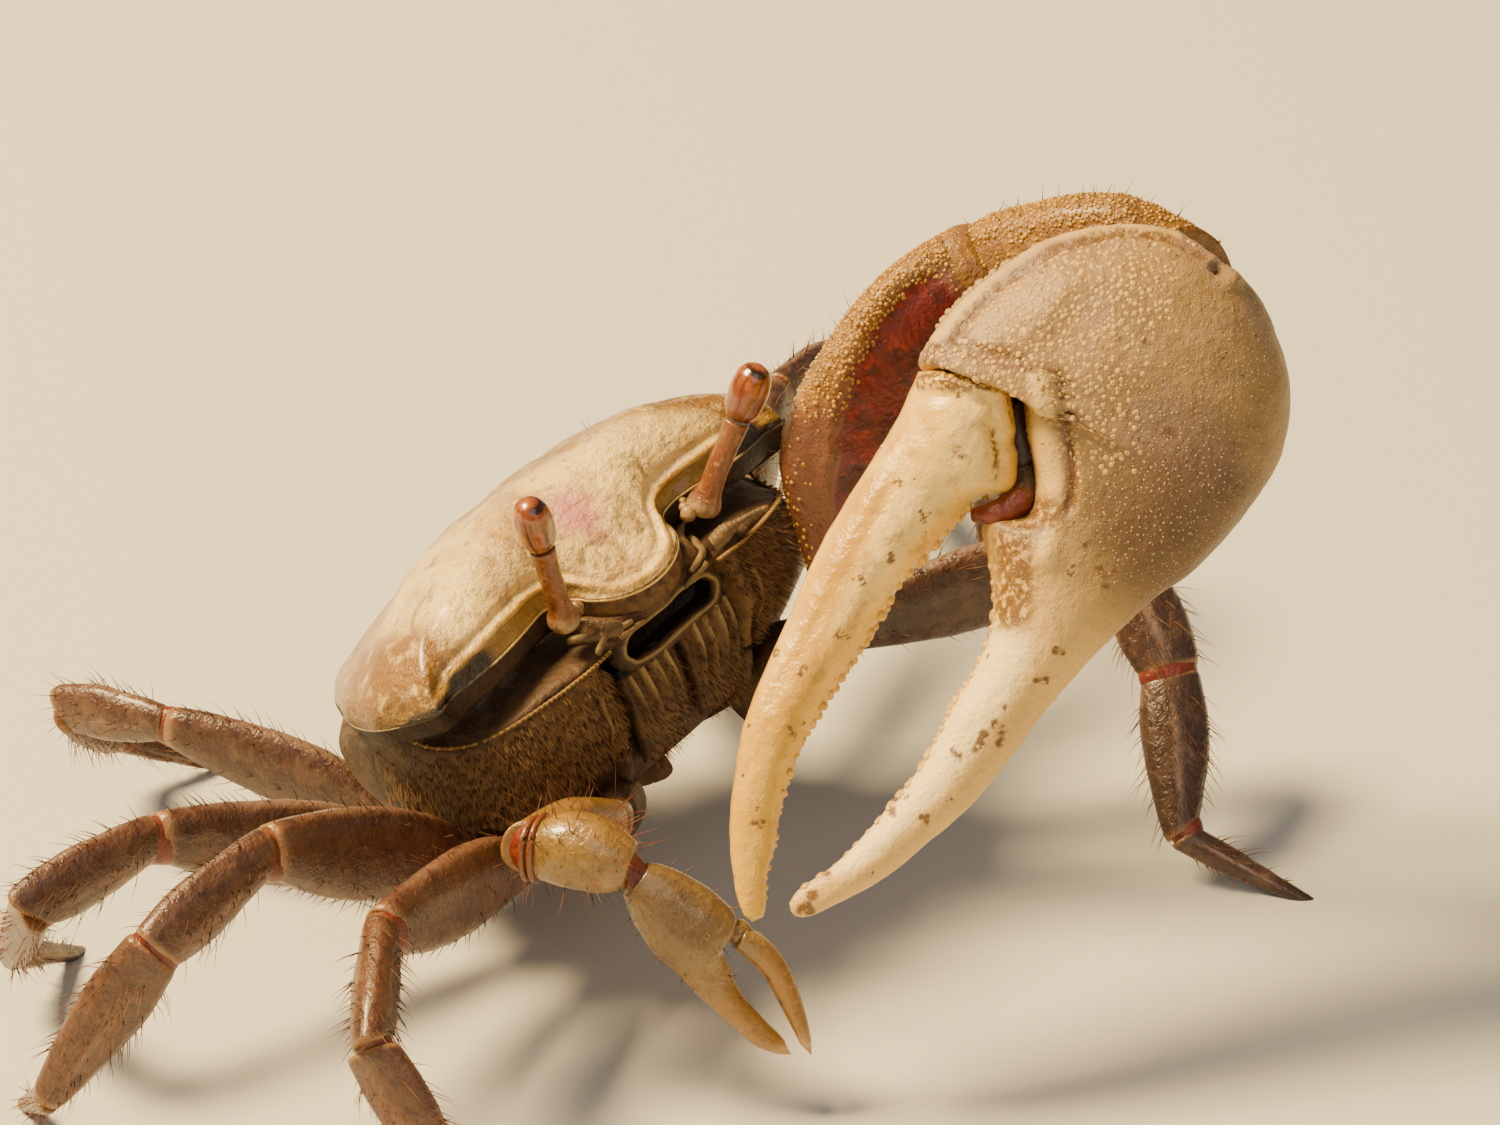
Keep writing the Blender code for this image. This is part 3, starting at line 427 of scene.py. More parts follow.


# %% [markdown]
# The finishes of the crab. Every hard part is the same stuff, waxed chitin grown in layers, so they
# share an IOR of 1.55, lower only on the dull face, and differ in colour, wear and gloss. The real
# pores are finer than 0.05 mm, too fine to show, so cells and fine bumps are drawn at about 0.2 to
# 0.6 mm, as coarse as they need to be.

# %% The crab's finishes
# Back: cream shell under glossy wax, clouded golden brown at its edge, with olive scars
# and a flush of pink pigment. The band just under the crest is golden brown, partly darkened as painted
# shade, and the wall mark paints near-black shade under the rim and the brow.
back_chitin = finish(
    "mottled_back_chitin", "C8A05A",
    [("F4D684", 0.90, (4.2, 0.33, 0.53)),
     ("9A7440", 0.36, (1.9, 0.55, 0.68)),
     ("B0928E", 0.26, (2.6, 0.50, 0.64)),
     ("78592C", 0.55, (0.55, 0.58, 0.69)),
     ("F2DEB2", 0.50, (0.42, 0.58, 0.70)),
     ("805408", 0.95, ("edge", 0.10, 0.90), (0.8, 0.20, 0.52)),
     ("7A6640", 0.70, ("scar", 0.15, 0.9)),
     ("C46A82", 0.75, ("flush", 0.15, 1.0)),
     ("8A6820", 0.90, ("band", 0.2, 0.8)),
     ("20160A", 0.95, ("wall", 0.3, 0.8)),
     ("C99A30", 0.90, ("rim", 0.3, 0.9))],
    [(0.07, (0.5, 0.3, 0.7)), (0.02, (0.18, 0.3, 0.7))],
    0.40, rough_mark=(0.30, (0.7, 0.4, 0.65)), coat=0.38, coat_roughness=0.15, soft=0.06)
# Face: thin dull dark shell that shines only on its pale lips. Its eye hollows are darkened, partly as
# painted shade, and the hollow mark paints near-black shade in the mouth and under the brow.
face_chitin = finish(
    "dark_face_chitin", "553C24",
    [("2A1C10", 0.7, (1.6, 0.45, 0.6)),
     ("7C5C34", 0.75, ("flank", 0.2, 0.9), (0.7, 0.34, 0.60)),
     ("3A2C1E", 0.9, ("orbit", 0.3, 0.9)),
     ("6C6460", 0.6, ("orbit", 0.3, 0.9), (2.0, 0.50, 0.64)),
     ("9C8454", 0.9, ("lip", 0.20, 0.95)),
     ("90703C", 0.9, ("bead", 0.3, 0.8)),
     ("050302", 1.0, ("hollow", 0.3, 0.8))],
    [(0.05, (0.4, 0.3, 0.7)), (0.012, (-0.2, 0.0, 0.5))],
    0.58, rough_mark=(0.40, ("lip", 0.3, 0.9)), coat=0.05, coat_roughness=0.3, ior=1.40)
# Palm: thick limy shell, matt tan clouded with mauve, under pale worn grains that catch the light.
# It is darker towards its lower edge, partly as painted shade, and the cream on the lower finger is
# partly a painted highlight.
palm_chitin = finish(
    "grained_palm_chitin", "8C6E3E",
    [("AA8752", 0.65, (4.0, 0.42, 0.60)),
     ("967A6C", 0.50, (5.5, 0.46, 0.62)),
     ("94734E", 0.50, (1.3, 0.52, 0.70)),
     ("5C401E", 0.90, ("low", 0.0, 1.0)),
     ("E4BA66", 0.95, ("warm", 0.1, 0.95)),
     ("FFE6A4", 0.86, ("cream", 0.1, 0.9)),
     ("E0BA68", 0.85, ("rim", 0.3, 0.9)),
     ("CEA45C", 0.90, ("grain", 0.3, 0.9)),
     ("CDB284", 0.65, ("speck", 0.3, 0.9)),
     ("6A4416", 0.92, ("stain", 0.15, 0.75), (0.42, 0.34, 0.52)),
     ("5A3C1A", 0.85, (0.9, 0.67, 0.71))],
    [(0.04, (0.5, 0.3, 0.7)), (0.014, (-0.22, 0.0, 0.45))],
    0.52, coat=0.06, coat_roughness=0.30, soft=0.06)
# Fingers: shell rubbed smooth by use, ivory to orange-yellow, with mud left in its pits. The cream
# along each finger's middle is partly a painted highlight.
finger_chitin = finish(
    "ivory_finger_chitin", "E8B644",
    [("F8D26E", 0.75, (3.0, 0.42, 0.60)),
     ("FCDA7C", 0.76, ("cream", 0.1, 0.9)),
     ("CC960E", 0.84, ("orange", 0.1, 0.9)),
     ("DCAA24", 0.86, ("warm", 0.30, 1.0)),
     ("B88434", 0.50, (1.1, 0.54, 0.68)),
     ("6A3E12", 0.9, ("stain", 0.2, 0.75), (0.30, 0.38, 0.53)),
     ("F4DCA0", 0.6, ("grain", 0.3, 0.9)),
     ("5A3C1A", 0.85, (0.8, 0.68, 0.72))],
    [(0.04, (0.6, 0.3, 0.7)), (0.005, (-0.2, 0.0, 0.5))],
    0.34, coat=0.25, coat_roughness=0.22, soft=0.06)
# Arm: rough golden shell outside, and crimson within, where no dirt dulls the red pigment. The
# crimson is dark and clouded near-black in places, partly as painted shade.
arm_chitin = finish(
    "golden_arm_chitin", "82581A",
    [("A4762A", 0.7, (0.9, 0.45, 0.64)),
     ("7A5A40", 0.5, (2.4, 0.48, 0.64)),
     ("7C4A34", 0.85, ("mauve", 0.2, 0.8)),
     ("720E08", 0.97, ("inner", 0.25, 0.7)),
     ("340604", 0.70, ("inner", 0.5, 0.9), (1.2, 0.46, 0.60)),
     ("A4240E", 0.75, ("inner", 0.5, 0.9), (0.7, 0.56, 0.66)),
     ("C89A3C", 0.9, ("grain", 0.3, 0.9))],
    [(0.06, (0.5, 0.3, 0.7)), (0.02, (-0.25, 0.0, 0.45))],
    0.42, coat=0.25, coat_roughness=0.22, soft=0.08)
# Legs: maroon brown shell, paler along the crests of the ridges as a painted highlight, and horn
# black at the tips.
leg_chitin = finish(
    "maroon_leg_chitin", "442C20",
    [("6C503A", 0.6, (1.4, 0.46, 0.64)),
     ("977A68", 0.65, ("ridge", 0.45, 1.0)),
     ("6E4222", 0.62, ("rust", 0.05, 0.9)),
     ("3A2016", 0.65, (0.9, 0.52, 0.66)),
     ("A5784A", 0.6, ("joint", 0.35, 0.95)),
     ("26130B", 0.8, ("horn", 0.2, 0.9))],
    [(0.05, (0.5, 0.3, 0.7)), (0.012, (-0.2, 0.0, 0.5))],
    0.40, coat=0.26, coat_roughness=0.18, soft=0.05)
# Small claw: thin clear shell, so glossy and warm that the olive and amber seem to lie below it.
small_chitin = finish(
    "olive_small_claw_chitin", "846530",
    [("A47E3C", 0.6, (1.4, 0.44, 0.62)),
     ("7E5236", 0.6, ("mauve", 0.35, 0.95)),
     ("6A5432", 0.8, ("olive", 0.2, 0.9)),
     ("9C6C1C", 0.85, ("amber", 0.1, 0.9)),
     ("D2A766", 0.8, ("tip", 0.3, 1.0)),
     ("7A3A1C", 0.85, ("collar", 0.3, 0.9)),
     ("54401F", 0.55, (0.6, 0.58, 0.70))],
    [(0.04, (0.45, 0.3, 0.7)), (0.010, (-0.18, 0.0, 0.5))],
    0.30, coat=0.6, coat_roughness=0.10, soft=0.15)
# Eye stalks: smooth amber shell, a little see-through, pale at the foot.
stalk_chitin = finish(
    "amber_stalk_chitin", "7C4416",
    [("AE9464", 0.75, ("foot", 0.2, 1.0)),
     ("66360F", 0.65, (0.9, 0.46, 0.62)),
     ("C08C48", 0.55, (0.5, 0.56, 0.70))],
    [(0.03, (0.3, 0.3, 0.7))],
    0.33, coat=0.45, coat_roughness=0.14, soft=0.15)
# Eyes: wet clear cornea over thousands of facets of about 0.03 mm, drawn at 0.07 mm to show.
eye_gloss = finish(
    "wet_compound_eye", "823E0E",
    [("B0682A", 0.6, (0.8, 0.44, 0.62)),
     ("4E200A", 0.75, ("streak", 0.45, 0.8)),
     ("BBA57C", 0.92, ("pale", 0.2, 0.85)),
     ("7E6846", 0.6, ("pale", 0.2, 0.85), ("streak", 0.4, 0.9)),
     ("3A180A", 0.9, ("seam", 0.3, 0.9)),
     ("180A05", 0.95, ("dark", 0.3, 0.8))],
    [(0.004, (-0.07, 0.0, 0.5))],
    0.24, coat=0.8, coat_roughness=0.06, soft=0.08)
# Joint skin: soft, unlimed and damp, so it folds and its red pigment shows. Its dark mark paints
# the membrane in the claw's finger seat near-black, as the shade of the deep slot.
joint_skin = finish(
    "red_joint_skin", "66200E",
    [("8A3A1E", 0.6, (0.6, 0.44, 0.62)),
     ("2C1E12", 0.95, ("dark", 0.2, 0.8))],
    [(0.03, (0.3, 0.3, 0.7))],
    0.42, coat=0.15, coat_roughness=0.20, soft=0.12)
# Bristles: solid horn, reddish at the root and bleached tan at the tip.
bristle_horn = finish(
    "tan_bristle_horn", "604222",
    [("A47C46", 0.85, ("tip", 0.25, 0.95)),
     ("7E3A20", 0.7, ("red", 0.3, 0.8))],
    [], 0.45)
print("finishes:", len(bpy.data.materials))

# %% [markdown]
# The back shell is one arched plate. Its outline is half a table of points mirrored, with a smooth
# curve through them. Rings step out from the crown to that outline, and the height falls away as
# (1 - share^p)^q, steep at the sides and gentle in front. Inner rings follow a softened outline, so
# the eye notches show only near the edge. Grooves, scars and a rolled rim are then pushed along the
# normals, because a rim drawn only as bump would vanish against the light.

# %% The outline of the back
MARGIN_HALF = np.array([
    (0.000, -0.130, -0.040), (0.045, -0.125, -0.036), (0.085, -0.108, -0.026), (0.112, -0.080, -0.012),
    (0.124, -0.050, 0.000), (0.145, -0.030, 0.006), (0.180, -0.026, 0.010), (0.215, -0.038, 0.012),
    (0.270, -0.050, 0.010), (0.330, -0.050, 0.005), (0.385, -0.036, -0.001), (0.430, -0.022, -0.006),
    (0.470, -0.030, -0.010), (0.486, 0.000, -0.013), (0.498, 0.060, -0.017), (0.500, 0.120, -0.021),
    (0.482, 0.190, -0.027), (0.445, 0.270, -0.034), (0.395, 0.350, -0.046), (0.345, 0.425, -0.062),
    (0.295, 0.485, -0.078), (0.240, 0.520, -0.092), (0.160, 0.532, -0.098), (0.080, 0.536, -0.100)])
FRONT_KNOTS = 13
DOME_HEIGHT, DOME_CENTRE_Y = 0.165, 0.15
SHELL_CENTRE_Y, SHELL_CUT_Z = 0.18, -0.290
CARAPACE_EDGE, BROW_DROP, WALL_FRONT, MOUTH_DEPTH = 0.022, 0.020, 0.295, 0.060
TOTAL_KNOTS = 2 * len(MARGIN_HALF)


def outline(at):
    """The whole outline at knot numbers from 0, the front's tip, round by the left to the tip again."""
    back = np.array([[0.0, MARGIN_HALF[-1, 1], MARGIN_HALF[-1, 2]]])
    loop = np.concatenate([MARGIN_HALF, back, (MARGIN_HALF[1:] * [-1, 1, 1])[::-1], MARGIN_HALF[:1]])
    wrapped = np.concatenate([loop[-2:-1], loop, loop[1:2]])
    return spline(np.arange(-1.0, len(loop) + 1.0), wrapped, at)


def split_knots(front_step, back_step):
    """Knot numbers round the outline, closer together along the front than behind."""
    near = np.arange(0, FRONT_KNOTS, front_step)
    far = np.arange(FRONT_KNOTS, TOTAL_KNOTS - FRONT_KNOTS + 1e-6, back_step)
    return np.concatenate([near, far, TOTAL_KNOTS - near[1:][::-1]])


def softened_outline(at):
    """The outline with its notches averaged away over 60 turns, read at the same knot numbers."""
    coarse = split_knots(0.5, 1.0)
    ring = outline(coarse)
    for _ in range(60):
        ring = 0.5 * ring + 0.25 * (np.roll(ring, 1, axis=0) + np.roll(ring, -1, axis=0))
    knots = np.concatenate([[coarse[-1] - TOTAL_KNOTS], coarse, [TOTAL_KNOTS, TOTAL_KNOTS + 0.5]])
    return spline(knots, np.concatenate([ring[-1:], ring, ring[:2]]), at)


knots = split_knots(0.125, 0.25)
loop, soft_loop = outline(knots), softened_outline(knots)
print("outline points:", len(loop), "widest", (loop[:, 0].max() * 2 * WIDTH).round(2), "mm")


# %% The back shell
def dome(share):
    """One ring of the upper skin, in widths: z = margin z * share^2.2 + height * (1 - share^p)^q."""
    near = np.clip((share - 0.80) / 0.20, 0, 1) ** 1.3
    ring = loop * near + soft_loop * (1 - near)
    out = ring[:, :2] - [0.0, DOME_CENTRE_Y]
    plan = [0.0, DOME_CENTRE_Y] + out * share
    reach = np.linalg.norm(out, axis=1)
    forward, aside = np.clip(-out[:, 1] / reach, 0, 1), np.abs(out[:, 0]) / reach
    height = DOME_HEIGHT - 0.10 * np.clip(plan[:, 1] - 0.05, 0, 1)
    rise = np.clip(1 - share ** (2.2 + 3.4 * aside**2), 0, 1) ** (0.44 + 0.52 * forward**2)
    return np.column_stack([plan, ring[:, 2] * share**2.2 + height * rise])


def drawn_in(ring, share, middle_y=DOME_CENTRE_Y):
    """Points brought towards the middle in plan by a share, their heights kept."""
    middle = np.array([0, middle_y, 0])
    return middle + (ring - middle) * [share, share, 1]


def near_path(plan, path):
    """Distance from plan points to a line of points."""
    path = np.asarray(path, float)
    best = np.full(plan.shape[:-1], 9.0)
    for a, b in zip(path[:-1], path[1:]):
        way = b - a
        t = np.clip(((plan - a) @ way) / (way @ way), 0, 1)
        best = np.minimum(best, np.linalg.norm(plan - (a + t[..., None] * way), axis=-1))
    return best


# Grooves of the right half, mirrored to the left: points in widths, depth and spread.
GROOVES = [([(0.085, 0.02), (0.125, 0.09), (0.12, 0.17), (0.155, 0.25)], 0.0050, 0.016),
           ([(0.12, 0.17), (0.06, 0.20), (0.0, 0.205)], 0.0035, 0.014),
           ([(0.155, 0.25), (0.19, 0.34), (0.21, 0.42)], 0.0040, 0.018),
           ([(0.125, 0.09), (0.20, 0.045), (0.29, 0.04)], 0.0040, 0.018),
           ([(0.0, -0.115), (0.0, -0.02)], 0.0035, 0.010)]
# Muscle scars: x, y, half width, half length in widths, and the way its dark crescent faces.
SCARS = [(0.067, -0.062, 0.038, 0.024, 2.2), (-0.043, -0.074, 0.048, 0.030, 1.2),
         (0.140, -0.016, 0.022, 0.014, 0.4), (-0.120, -0.020, 0.024, 0.014, 2.6),
         (0.335, 0.045, 0.050, 0.022, 1.0), (-0.330, 0.050, 0.052, 0.024, 2.0),
         (0.21, 0.13, 0.030, 0.018, 0.2), (-0.20, 0.12, 0.034, 0.018, 2.8)]

shares = np.concatenate([np.linspace(0.03, 0.88, 46), np.linspace(0.89, 1.0, 26)])
rings = [dome(s) for s in shares]
edge_ring = drawn_in(loop - [0, 0, CARAPACE_EDGE], 0.985)
low_ring = drawn_in(edge_ring - [0, 0, BROW_DROP], 0.978)
for upper, lower, steps in ((loop, edge_ring, (0.2, 0.4, 0.6, 0.8, 1.0)),
                            (edge_ring, low_ring, (0.33, 0.67, 1.0))):
    rings += [upper * (1 - t) + lower * t for t in steps]
for share in (0.97, 0.85, 0.6, 0.3):
    ring = drawn_in(low_ring, share)
    ring[:, 2] = low_ring[:, 2] * share - (CARAPACE_EDGE + BROW_DROP) * (1 - share)
    rings.append(ring)
body_grid = np.array(rings)[::-1]
low_rows = len(rings) - len(shares)
on_top = np.arange(len(rings))[:, None] >= low_rows

# %% Lines and scars of the back
plan = body_grid[..., :2]
x, y, aside = plan[..., 0], plan[..., 1], np.abs(plan[..., 0])
mirrored = np.stack([aside, y], -1)
share_of = np.concatenate([shares, np.full(low_rows, 1.0)])[::-1, None]
inset = (1 - share_of) * np.linalg.norm(loop[:, :2] - [0, DOME_CENTRE_Y], axis=1)[None]
run_in = np.zeros(x.shape)
run_in[low_rows + 1:] = np.cumsum(np.linalg.norm(np.diff(body_grid[low_rows:], axis=0), axis=-1), axis=0)
crest_at = np.interp(np.abs(loop[:, 0]), [0, 0.08, 0.11, 0.16, 0.30, 0.40, 0.46, 0.48],
                     [0.010, 0.012, 0.024, 0.030, 0.036, 0.030, 0.012, 0.006])
above_crest = run_in - (crest_at * ramp(-loop[:, 1], -0.10, -0.03) + 0.005)[None]
lift, scar = np.zeros(x.shape), np.zeros(x.shape)
for path, deep, spread in GROOVES:
    lift -= 0.6 * deep * hump(near_path(mirrored, path), 0, spread)
for scar_x, scar_y, wide, high, facing in SCARS:
    across, ahead = (x - scar_x) / wide, (y - scar_y) / high
    r = np.hypot(across, ahead) * (1 + uneven(body_grid, 0.7, 0.022, 8))
    crescent = 0.35 + 0.65 * ramp(np.cos(np.arctan2(ahead, across) - facing), -0.2, 0.7)
    blotch = 0.75 * ramp(noise(body_grid, 0.013, 9), 0.45, 0.7) * ramp(1.1 - r, 0, 0.5)
    scar = np.maximum(scar, np.maximum(0.9 * hump(r, 0.95, 0.22) * crescent, blotch))
    lift -= 0.0030 * hump(r, 0.95, 0.28) * crescent + 0.0012 * hump(r, 0, 0.7)
front_part = ramp(-y, -0.25, -0.02)
lobe = ramp(0.15 - aside, 0, 0.04) * front_part
crest_spread = 0.0060 - 0.0015 * lobe
lift += 0.0058 * hump(above_crest, 0, crest_spread) * (0.45 + 0.55 * front_part) * (1 - 0.35 * lobe)
lift -= 0.0060 * hump(above_crest, 0.018, 0.009) * (0.25 + 0.75 * front_part)
lift -= 0.0045 * hump(above_crest, -0.018, 0.010) * front_part
lift += uneven(body_grid, 0.0065, 0.10, 3) + uneven(body_grid, 0.0028, 0.040, 4)
lift += uneven(body_grid * [1, 2.2, 1], 0.0016, 0.018, 5) * ramp(0.22 - inset, 0, 0.1)
back_grid = pushed(from_body(body_grid), lift * on_top * WIDTH)
brown_part = np.maximum(np.maximum(0.25, ramp(aside, 0.30, 0.44)), ramp(y, 0.12, 0.34))
# Under the crest at the sides the shell is painted near-black as shade, through the wall mark.
shaded_under_crest = ramp(-above_crest, 0.003, 0.010) * ramp(aside, 0.28, 0.37) * on_top * ramp(0.06 - y, 0, 0.04)
back_marks = {
    "edge": (1 - ramp(inset, 0.02, 0.20)) * on_top * brown_part
    + 0.75 * ramp(y + 0.45 * x, 0.09, 0.20) * on_top,
    "rim": hump(above_crest, 0.001, crest_spread) * on_top,
    # band: golden brown below the crest, partly its own colour and partly painted shade.
    "band": ramp(-above_crest, 0.002, 0.007) * on_top * (1 - 0.6 * ramp(0.13 - aside, 0, 0.03)),
    "scar": scar * on_top * ramp(inset, 0.01, 0.03),
    "flush": hump(np.hypot(x + 0.006, y + 0.004), 0, 0.050) * on_top,
    # wall: near-black painted shade on the rows below the rim and under the crest.
    "wall": np.maximum(~on_top, shaded_under_crest),
}
back_skin = skin(back_grid, back_marks, from_body([0, DOME_CENTRE_Y, -CARAPACE_EDGE - BROW_DROP]))
print("back shell height", np.ptp(back_grid[..., 2]).round(2), "mm")

# %% [markdown]
# Two lines of shell edge the back. The upper one is the crest pushed out of the skin above. The lower
# one is a thin beaded cord along the outline, which makes the brow over each eye. It is a tube: a
# circle carried along the outline, square to its way, swelling a little at each bead.


# %% The rim and the brow
def ring_tube(path, radius, sides=8, marks=None):
    """A closed tube: at each path point a circle in the plane square to the way of the path."""
    rows, way = len(path), unit(np.roll(path, -1, 0) - np.roll(path, 1, 0))
    points = path[:, None] + circles(way, sides) * np.broadcast_to(radius, rows)[:, None, None]
    full = {name: np.repeat(np.broadcast_to(v, rows), sides) for name, v in (marks or {}).items()}
    return points.reshape(-1, 3), [ring_faces(rows, sides, True)], full


def tube(path, radius, sides=10, marks=None):
    """An open tube closed at both ends by poles, its circles square to the path."""
    way = unit(np.gradient(path, axis=0))
    grid = path[:, None] + circles(way, sides) * np.broadcast_to(radius, len(path))[:, None, None]
    full = {name: np.asarray(v, float).reshape(-1, 1) for name, v in (marks or {}).items()}
    return skin(grid, full, path[0] - way[0] * 0.02, path[-1] + way[-1] * 0.02)



rim_path = from_body(loop * [0.997, 0.997, 1] - [0, 0, 0.16 * CARAPACE_EDGE])
BEAD_STEP = 0.55  # mm
front = ramp(-loop[:, 1], -0.30, -0.02)
swell = 1 + 0.22 * (1 - front) * np.cos(run_along(rim_path) / BEAD_STEP * 2 * math.pi)
behind = ramp(loop[:, 1], 0.02, 0.10)
# Where the cord is not meant to show, the wall mark paints it near-black as shade under the brow.
shown = np.maximum(behind, ramp(0.37 - np.abs(loop[:, 0]), 0, 0.07))
rim = ring_tube(rim_path, (0.07 + 0.02 * behind) * swell, 8, {"rim": 0.55 * shown, "wall": 1 - shown})
put_piece("back_shell", join([back_skin, rim]), back_chitin, ["carapace"])
# Under the brow a slab is painted near-black as shade (the hollow mark), tan only under the front lobe.
slab_grid = drawn_in(body_grid[4:low_rows + 1], 1.004)
under_lobe = ramp(0.14 - np.abs(slab_grid[..., 0]), 0, 0.04)
painted_shade_slab = skin(from_body(slab_grid), {"flank": 0.10 + 0.6 * under_lobe, "hollow": 0.60 * (1 - under_lobe)})

# %% [markdown]
# Under the back shell the body has a wall that runs from the outline into a boxy oval, hollowed for
# each eye and for the mouth. It is the same kind of ring stack, smoothed by averaging each point with
# its neighbours, because the formula's corners are sharper than a grown face.


# %% The face and flanks
def wall_draw(z):
    """How far the body's wall reaches at one height, as a share of its greatest outline."""
    heights = [-0.42, -0.36, -0.31, -0.25, -0.17, -0.08, 0.0]
    return float(spline(heights, [0.50, 0.73, 0.85, 0.93, 0.98, 0.985, 0.975], [z])[0])


def lip_height(side):
    """The height of the eye hollow's lower lip, in widths, from the distance beside the middle."""
    return np.interp(side, [0.14, 0.30, 0.42, 0.47], [-0.090, -0.100, -0.112, -0.085])


def step(x, width):
    """A straight step from 0 at 0 to 1 at a width."""
    return np.clip(x / width, 0, 1)


def wall_ring(loop, z):
    """The wall at one height: the outline blended to a superellipse of power 3, with its hollows."""
    centre = np.array([0.0, SHELL_CENTRE_Y])
    out = loop[:, :2] - centre
    angle = np.arctan2(out[:, 0], -out[:, 1])
    deep = np.where(np.abs(angle) < math.pi / 2, WALL_FRONT, 0.345)
    radius = (np.abs(np.sin(angle) / 0.452) ** 3 + np.abs(np.cos(angle) / deep) ** 3) ** (-1 / 3)
    smooth = np.stack([np.sin(angle) * radius, -np.cos(angle) * radius], 1)
    fade = ramp(-z, 0, 0.09)
    plan = (out * (1 - fade) + smooth * fade) * wall_draw(z)
    height = z + loop[:, 2] * np.clip(1 + (z + CARAPACE_EDGE + GAP / WIDTH) / 0.25, 0, 1)
    side = np.abs(plan[:, 0])
    orbit = step(side - 0.13, 0.05) * step(0.475 - side, 0.05) \
        * step(z - lip_height(side), 0.022) * step(-0.038 - z, 0.010)
    mouth = step(0.165 + 0.06 * (z + 0.36) - side, 0.025) * step(-0.098 - height, 0.02)
    slope = 0.060 * step(-z - 0.215, 0.08) * step(side - 0.155, 0.04)
    plan[:, 1] += np.where(plan[:, 1] < 0, 0.085 * orbit + MOUTH_DEPTH * mouth + slope, 0.0)
    return np.column_stack([plan + centre, height]), orbit, mouth


def relaxed(grid, times):
    """A grid smoothed along and across by averaging neighbours, its end rings held."""
    grid = grid.copy()
    for _ in range(times):
        round_way = 0.5 * grid + 0.25 * (np.roll(grid, 1, 1) + np.roll(grid, -1, 1))
        grid[1:-1] = 0.5 * round_way[1:-1] + 0.25 * (round_way[:-2] + round_way[2:])
    return grid


gap = GAP / WIDTH
top, bottom = -CARAPACE_EDGE - 1.6 * gap, SHELL_CUT_Z + gap / 2
LID_RISE = 0.03
levels = np.concatenate([np.linspace(top, -0.13, 26), np.linspace(-0.136, bottom, 24)])[::-1]
found, orbit, mouth = (np.array(v) for v in zip(*[wall_ring(loop, z) for z in levels]))
wall = relaxed(found, 3)
orbit = relaxed(orbit[..., None], 2)[..., 0]
wall[0, :, 2] = bottom
lid = []
for share in (0.9, 0.6, 0.3):
    ring = drawn_in(wall[-1], share)
    ring[:, 2] = (wall[-1][:, 2] - top) * share + top - LID_RISE * (1 - share)
    lid.append(ring)
wall_side, wall_y, wall_z = np.abs(wall[..., 0]), wall[..., 1], wall[..., 2]
# The orbit mark darkens the eye hollows, partly painted shade; the hollow mark paints the mouth's recess
# near-black as shade.
face_marks = {"orbit": orbit,
              "flank": ramp(lip_height(wall_side) - wall_z, 0.0, 0.03) * ramp(-wall_y, -0.30, 0.05),
              "hollow": mouth * (wall_side < 0.14) * ramp(wall_z, -0.165, -0.150)}
face_marks = {k: np.pad(v, ((0, len(lid)), (0, 0))) for k, v in face_marks.items()}
face_grid = from_body(np.concatenate([wall, lid]))
face_grid = pushed(face_grid, uneven(face_grid, 0.22, 2.2, 6) + uneven(face_grid, 0.10, 0.9, 7))
face_skin = skin(face_grid, face_marks, from_body([0, SHELL_CENTRE_Y, bottom]),
                 from_body([0, DOME_CENTRE_Y, top - LID_RISE]))
print("face rings:", face_grid.shape)

# %% [markdown]
# The lower lip of each eye hollow carries a row of about thirty beads, and the mouth is a dumbbell
# slot with a pale rim. Their places come from the wall itself: the point of the grid nearest a given
# side and height, so that the beads sit on the face whatever its curve.


# %% Beads and mouth rim
def on_wall(sides, heights):
    """Points of the fine wall nearest to given (x, z) in widths, on its front."""
    front = wall[wall_y < 0.12]
    apart = (front[None, :, 0] - sides[:, None]) ** 2 + (front[None, :, 2] - heights[:, None]) ** 2
    return front[np.argmin(apart, 1)]


bead_parts = []
for side in WORDS:
    x = np.linspace(0.150, 0.465, 34) * side
    path = on_wall(x, lip_height(np.abs(x)) - 0.006 + 0.030 * ramp(np.abs(x), 0.44, 0.47))
    path = relaxed(np.repeat(path[:, None], 3, 1), 4)[:, 1]
    spots = from_body(path + [0, -0.009, 0])
    normals = np.tile(BODY_TURN @ unit([0.25 * side, -0.9, 0.3]), (len(spots), 1))
    bead_parts.append(beads(spots, normals, 0.115, 0.30, {"bead": 1.0}, 8))
    bead_parts.append(tube(spots - normals * 0.05, 0.09, 8, {"bead": 0.6}))
SLOT_POINTS = 96
turn = turns(SLOT_POINTS)
side_way, up_way = superellipse(turn, 0.8)
half_slot = 0.0255 + 0.0115 * np.cos(turn) ** 2
slot_unevenness = uneven(np.stack([side_way, up_way, 0 * turn], 1), 0.007, 0.35, 12)


def mouth_ring(beyond, back):
    """The slot's outline widened by a length and set back into the body, both in widths."""
    grown = beyond + slot_unevenness
    x, z = side_way * (0.118 + grown), up_way * (half_slot + grown)
    return np.stack([x, np.full(SLOT_POINTS, SHELL_CENTRE_Y - WALL_FRONT * 0.975 + back), z - 0.124], 1)


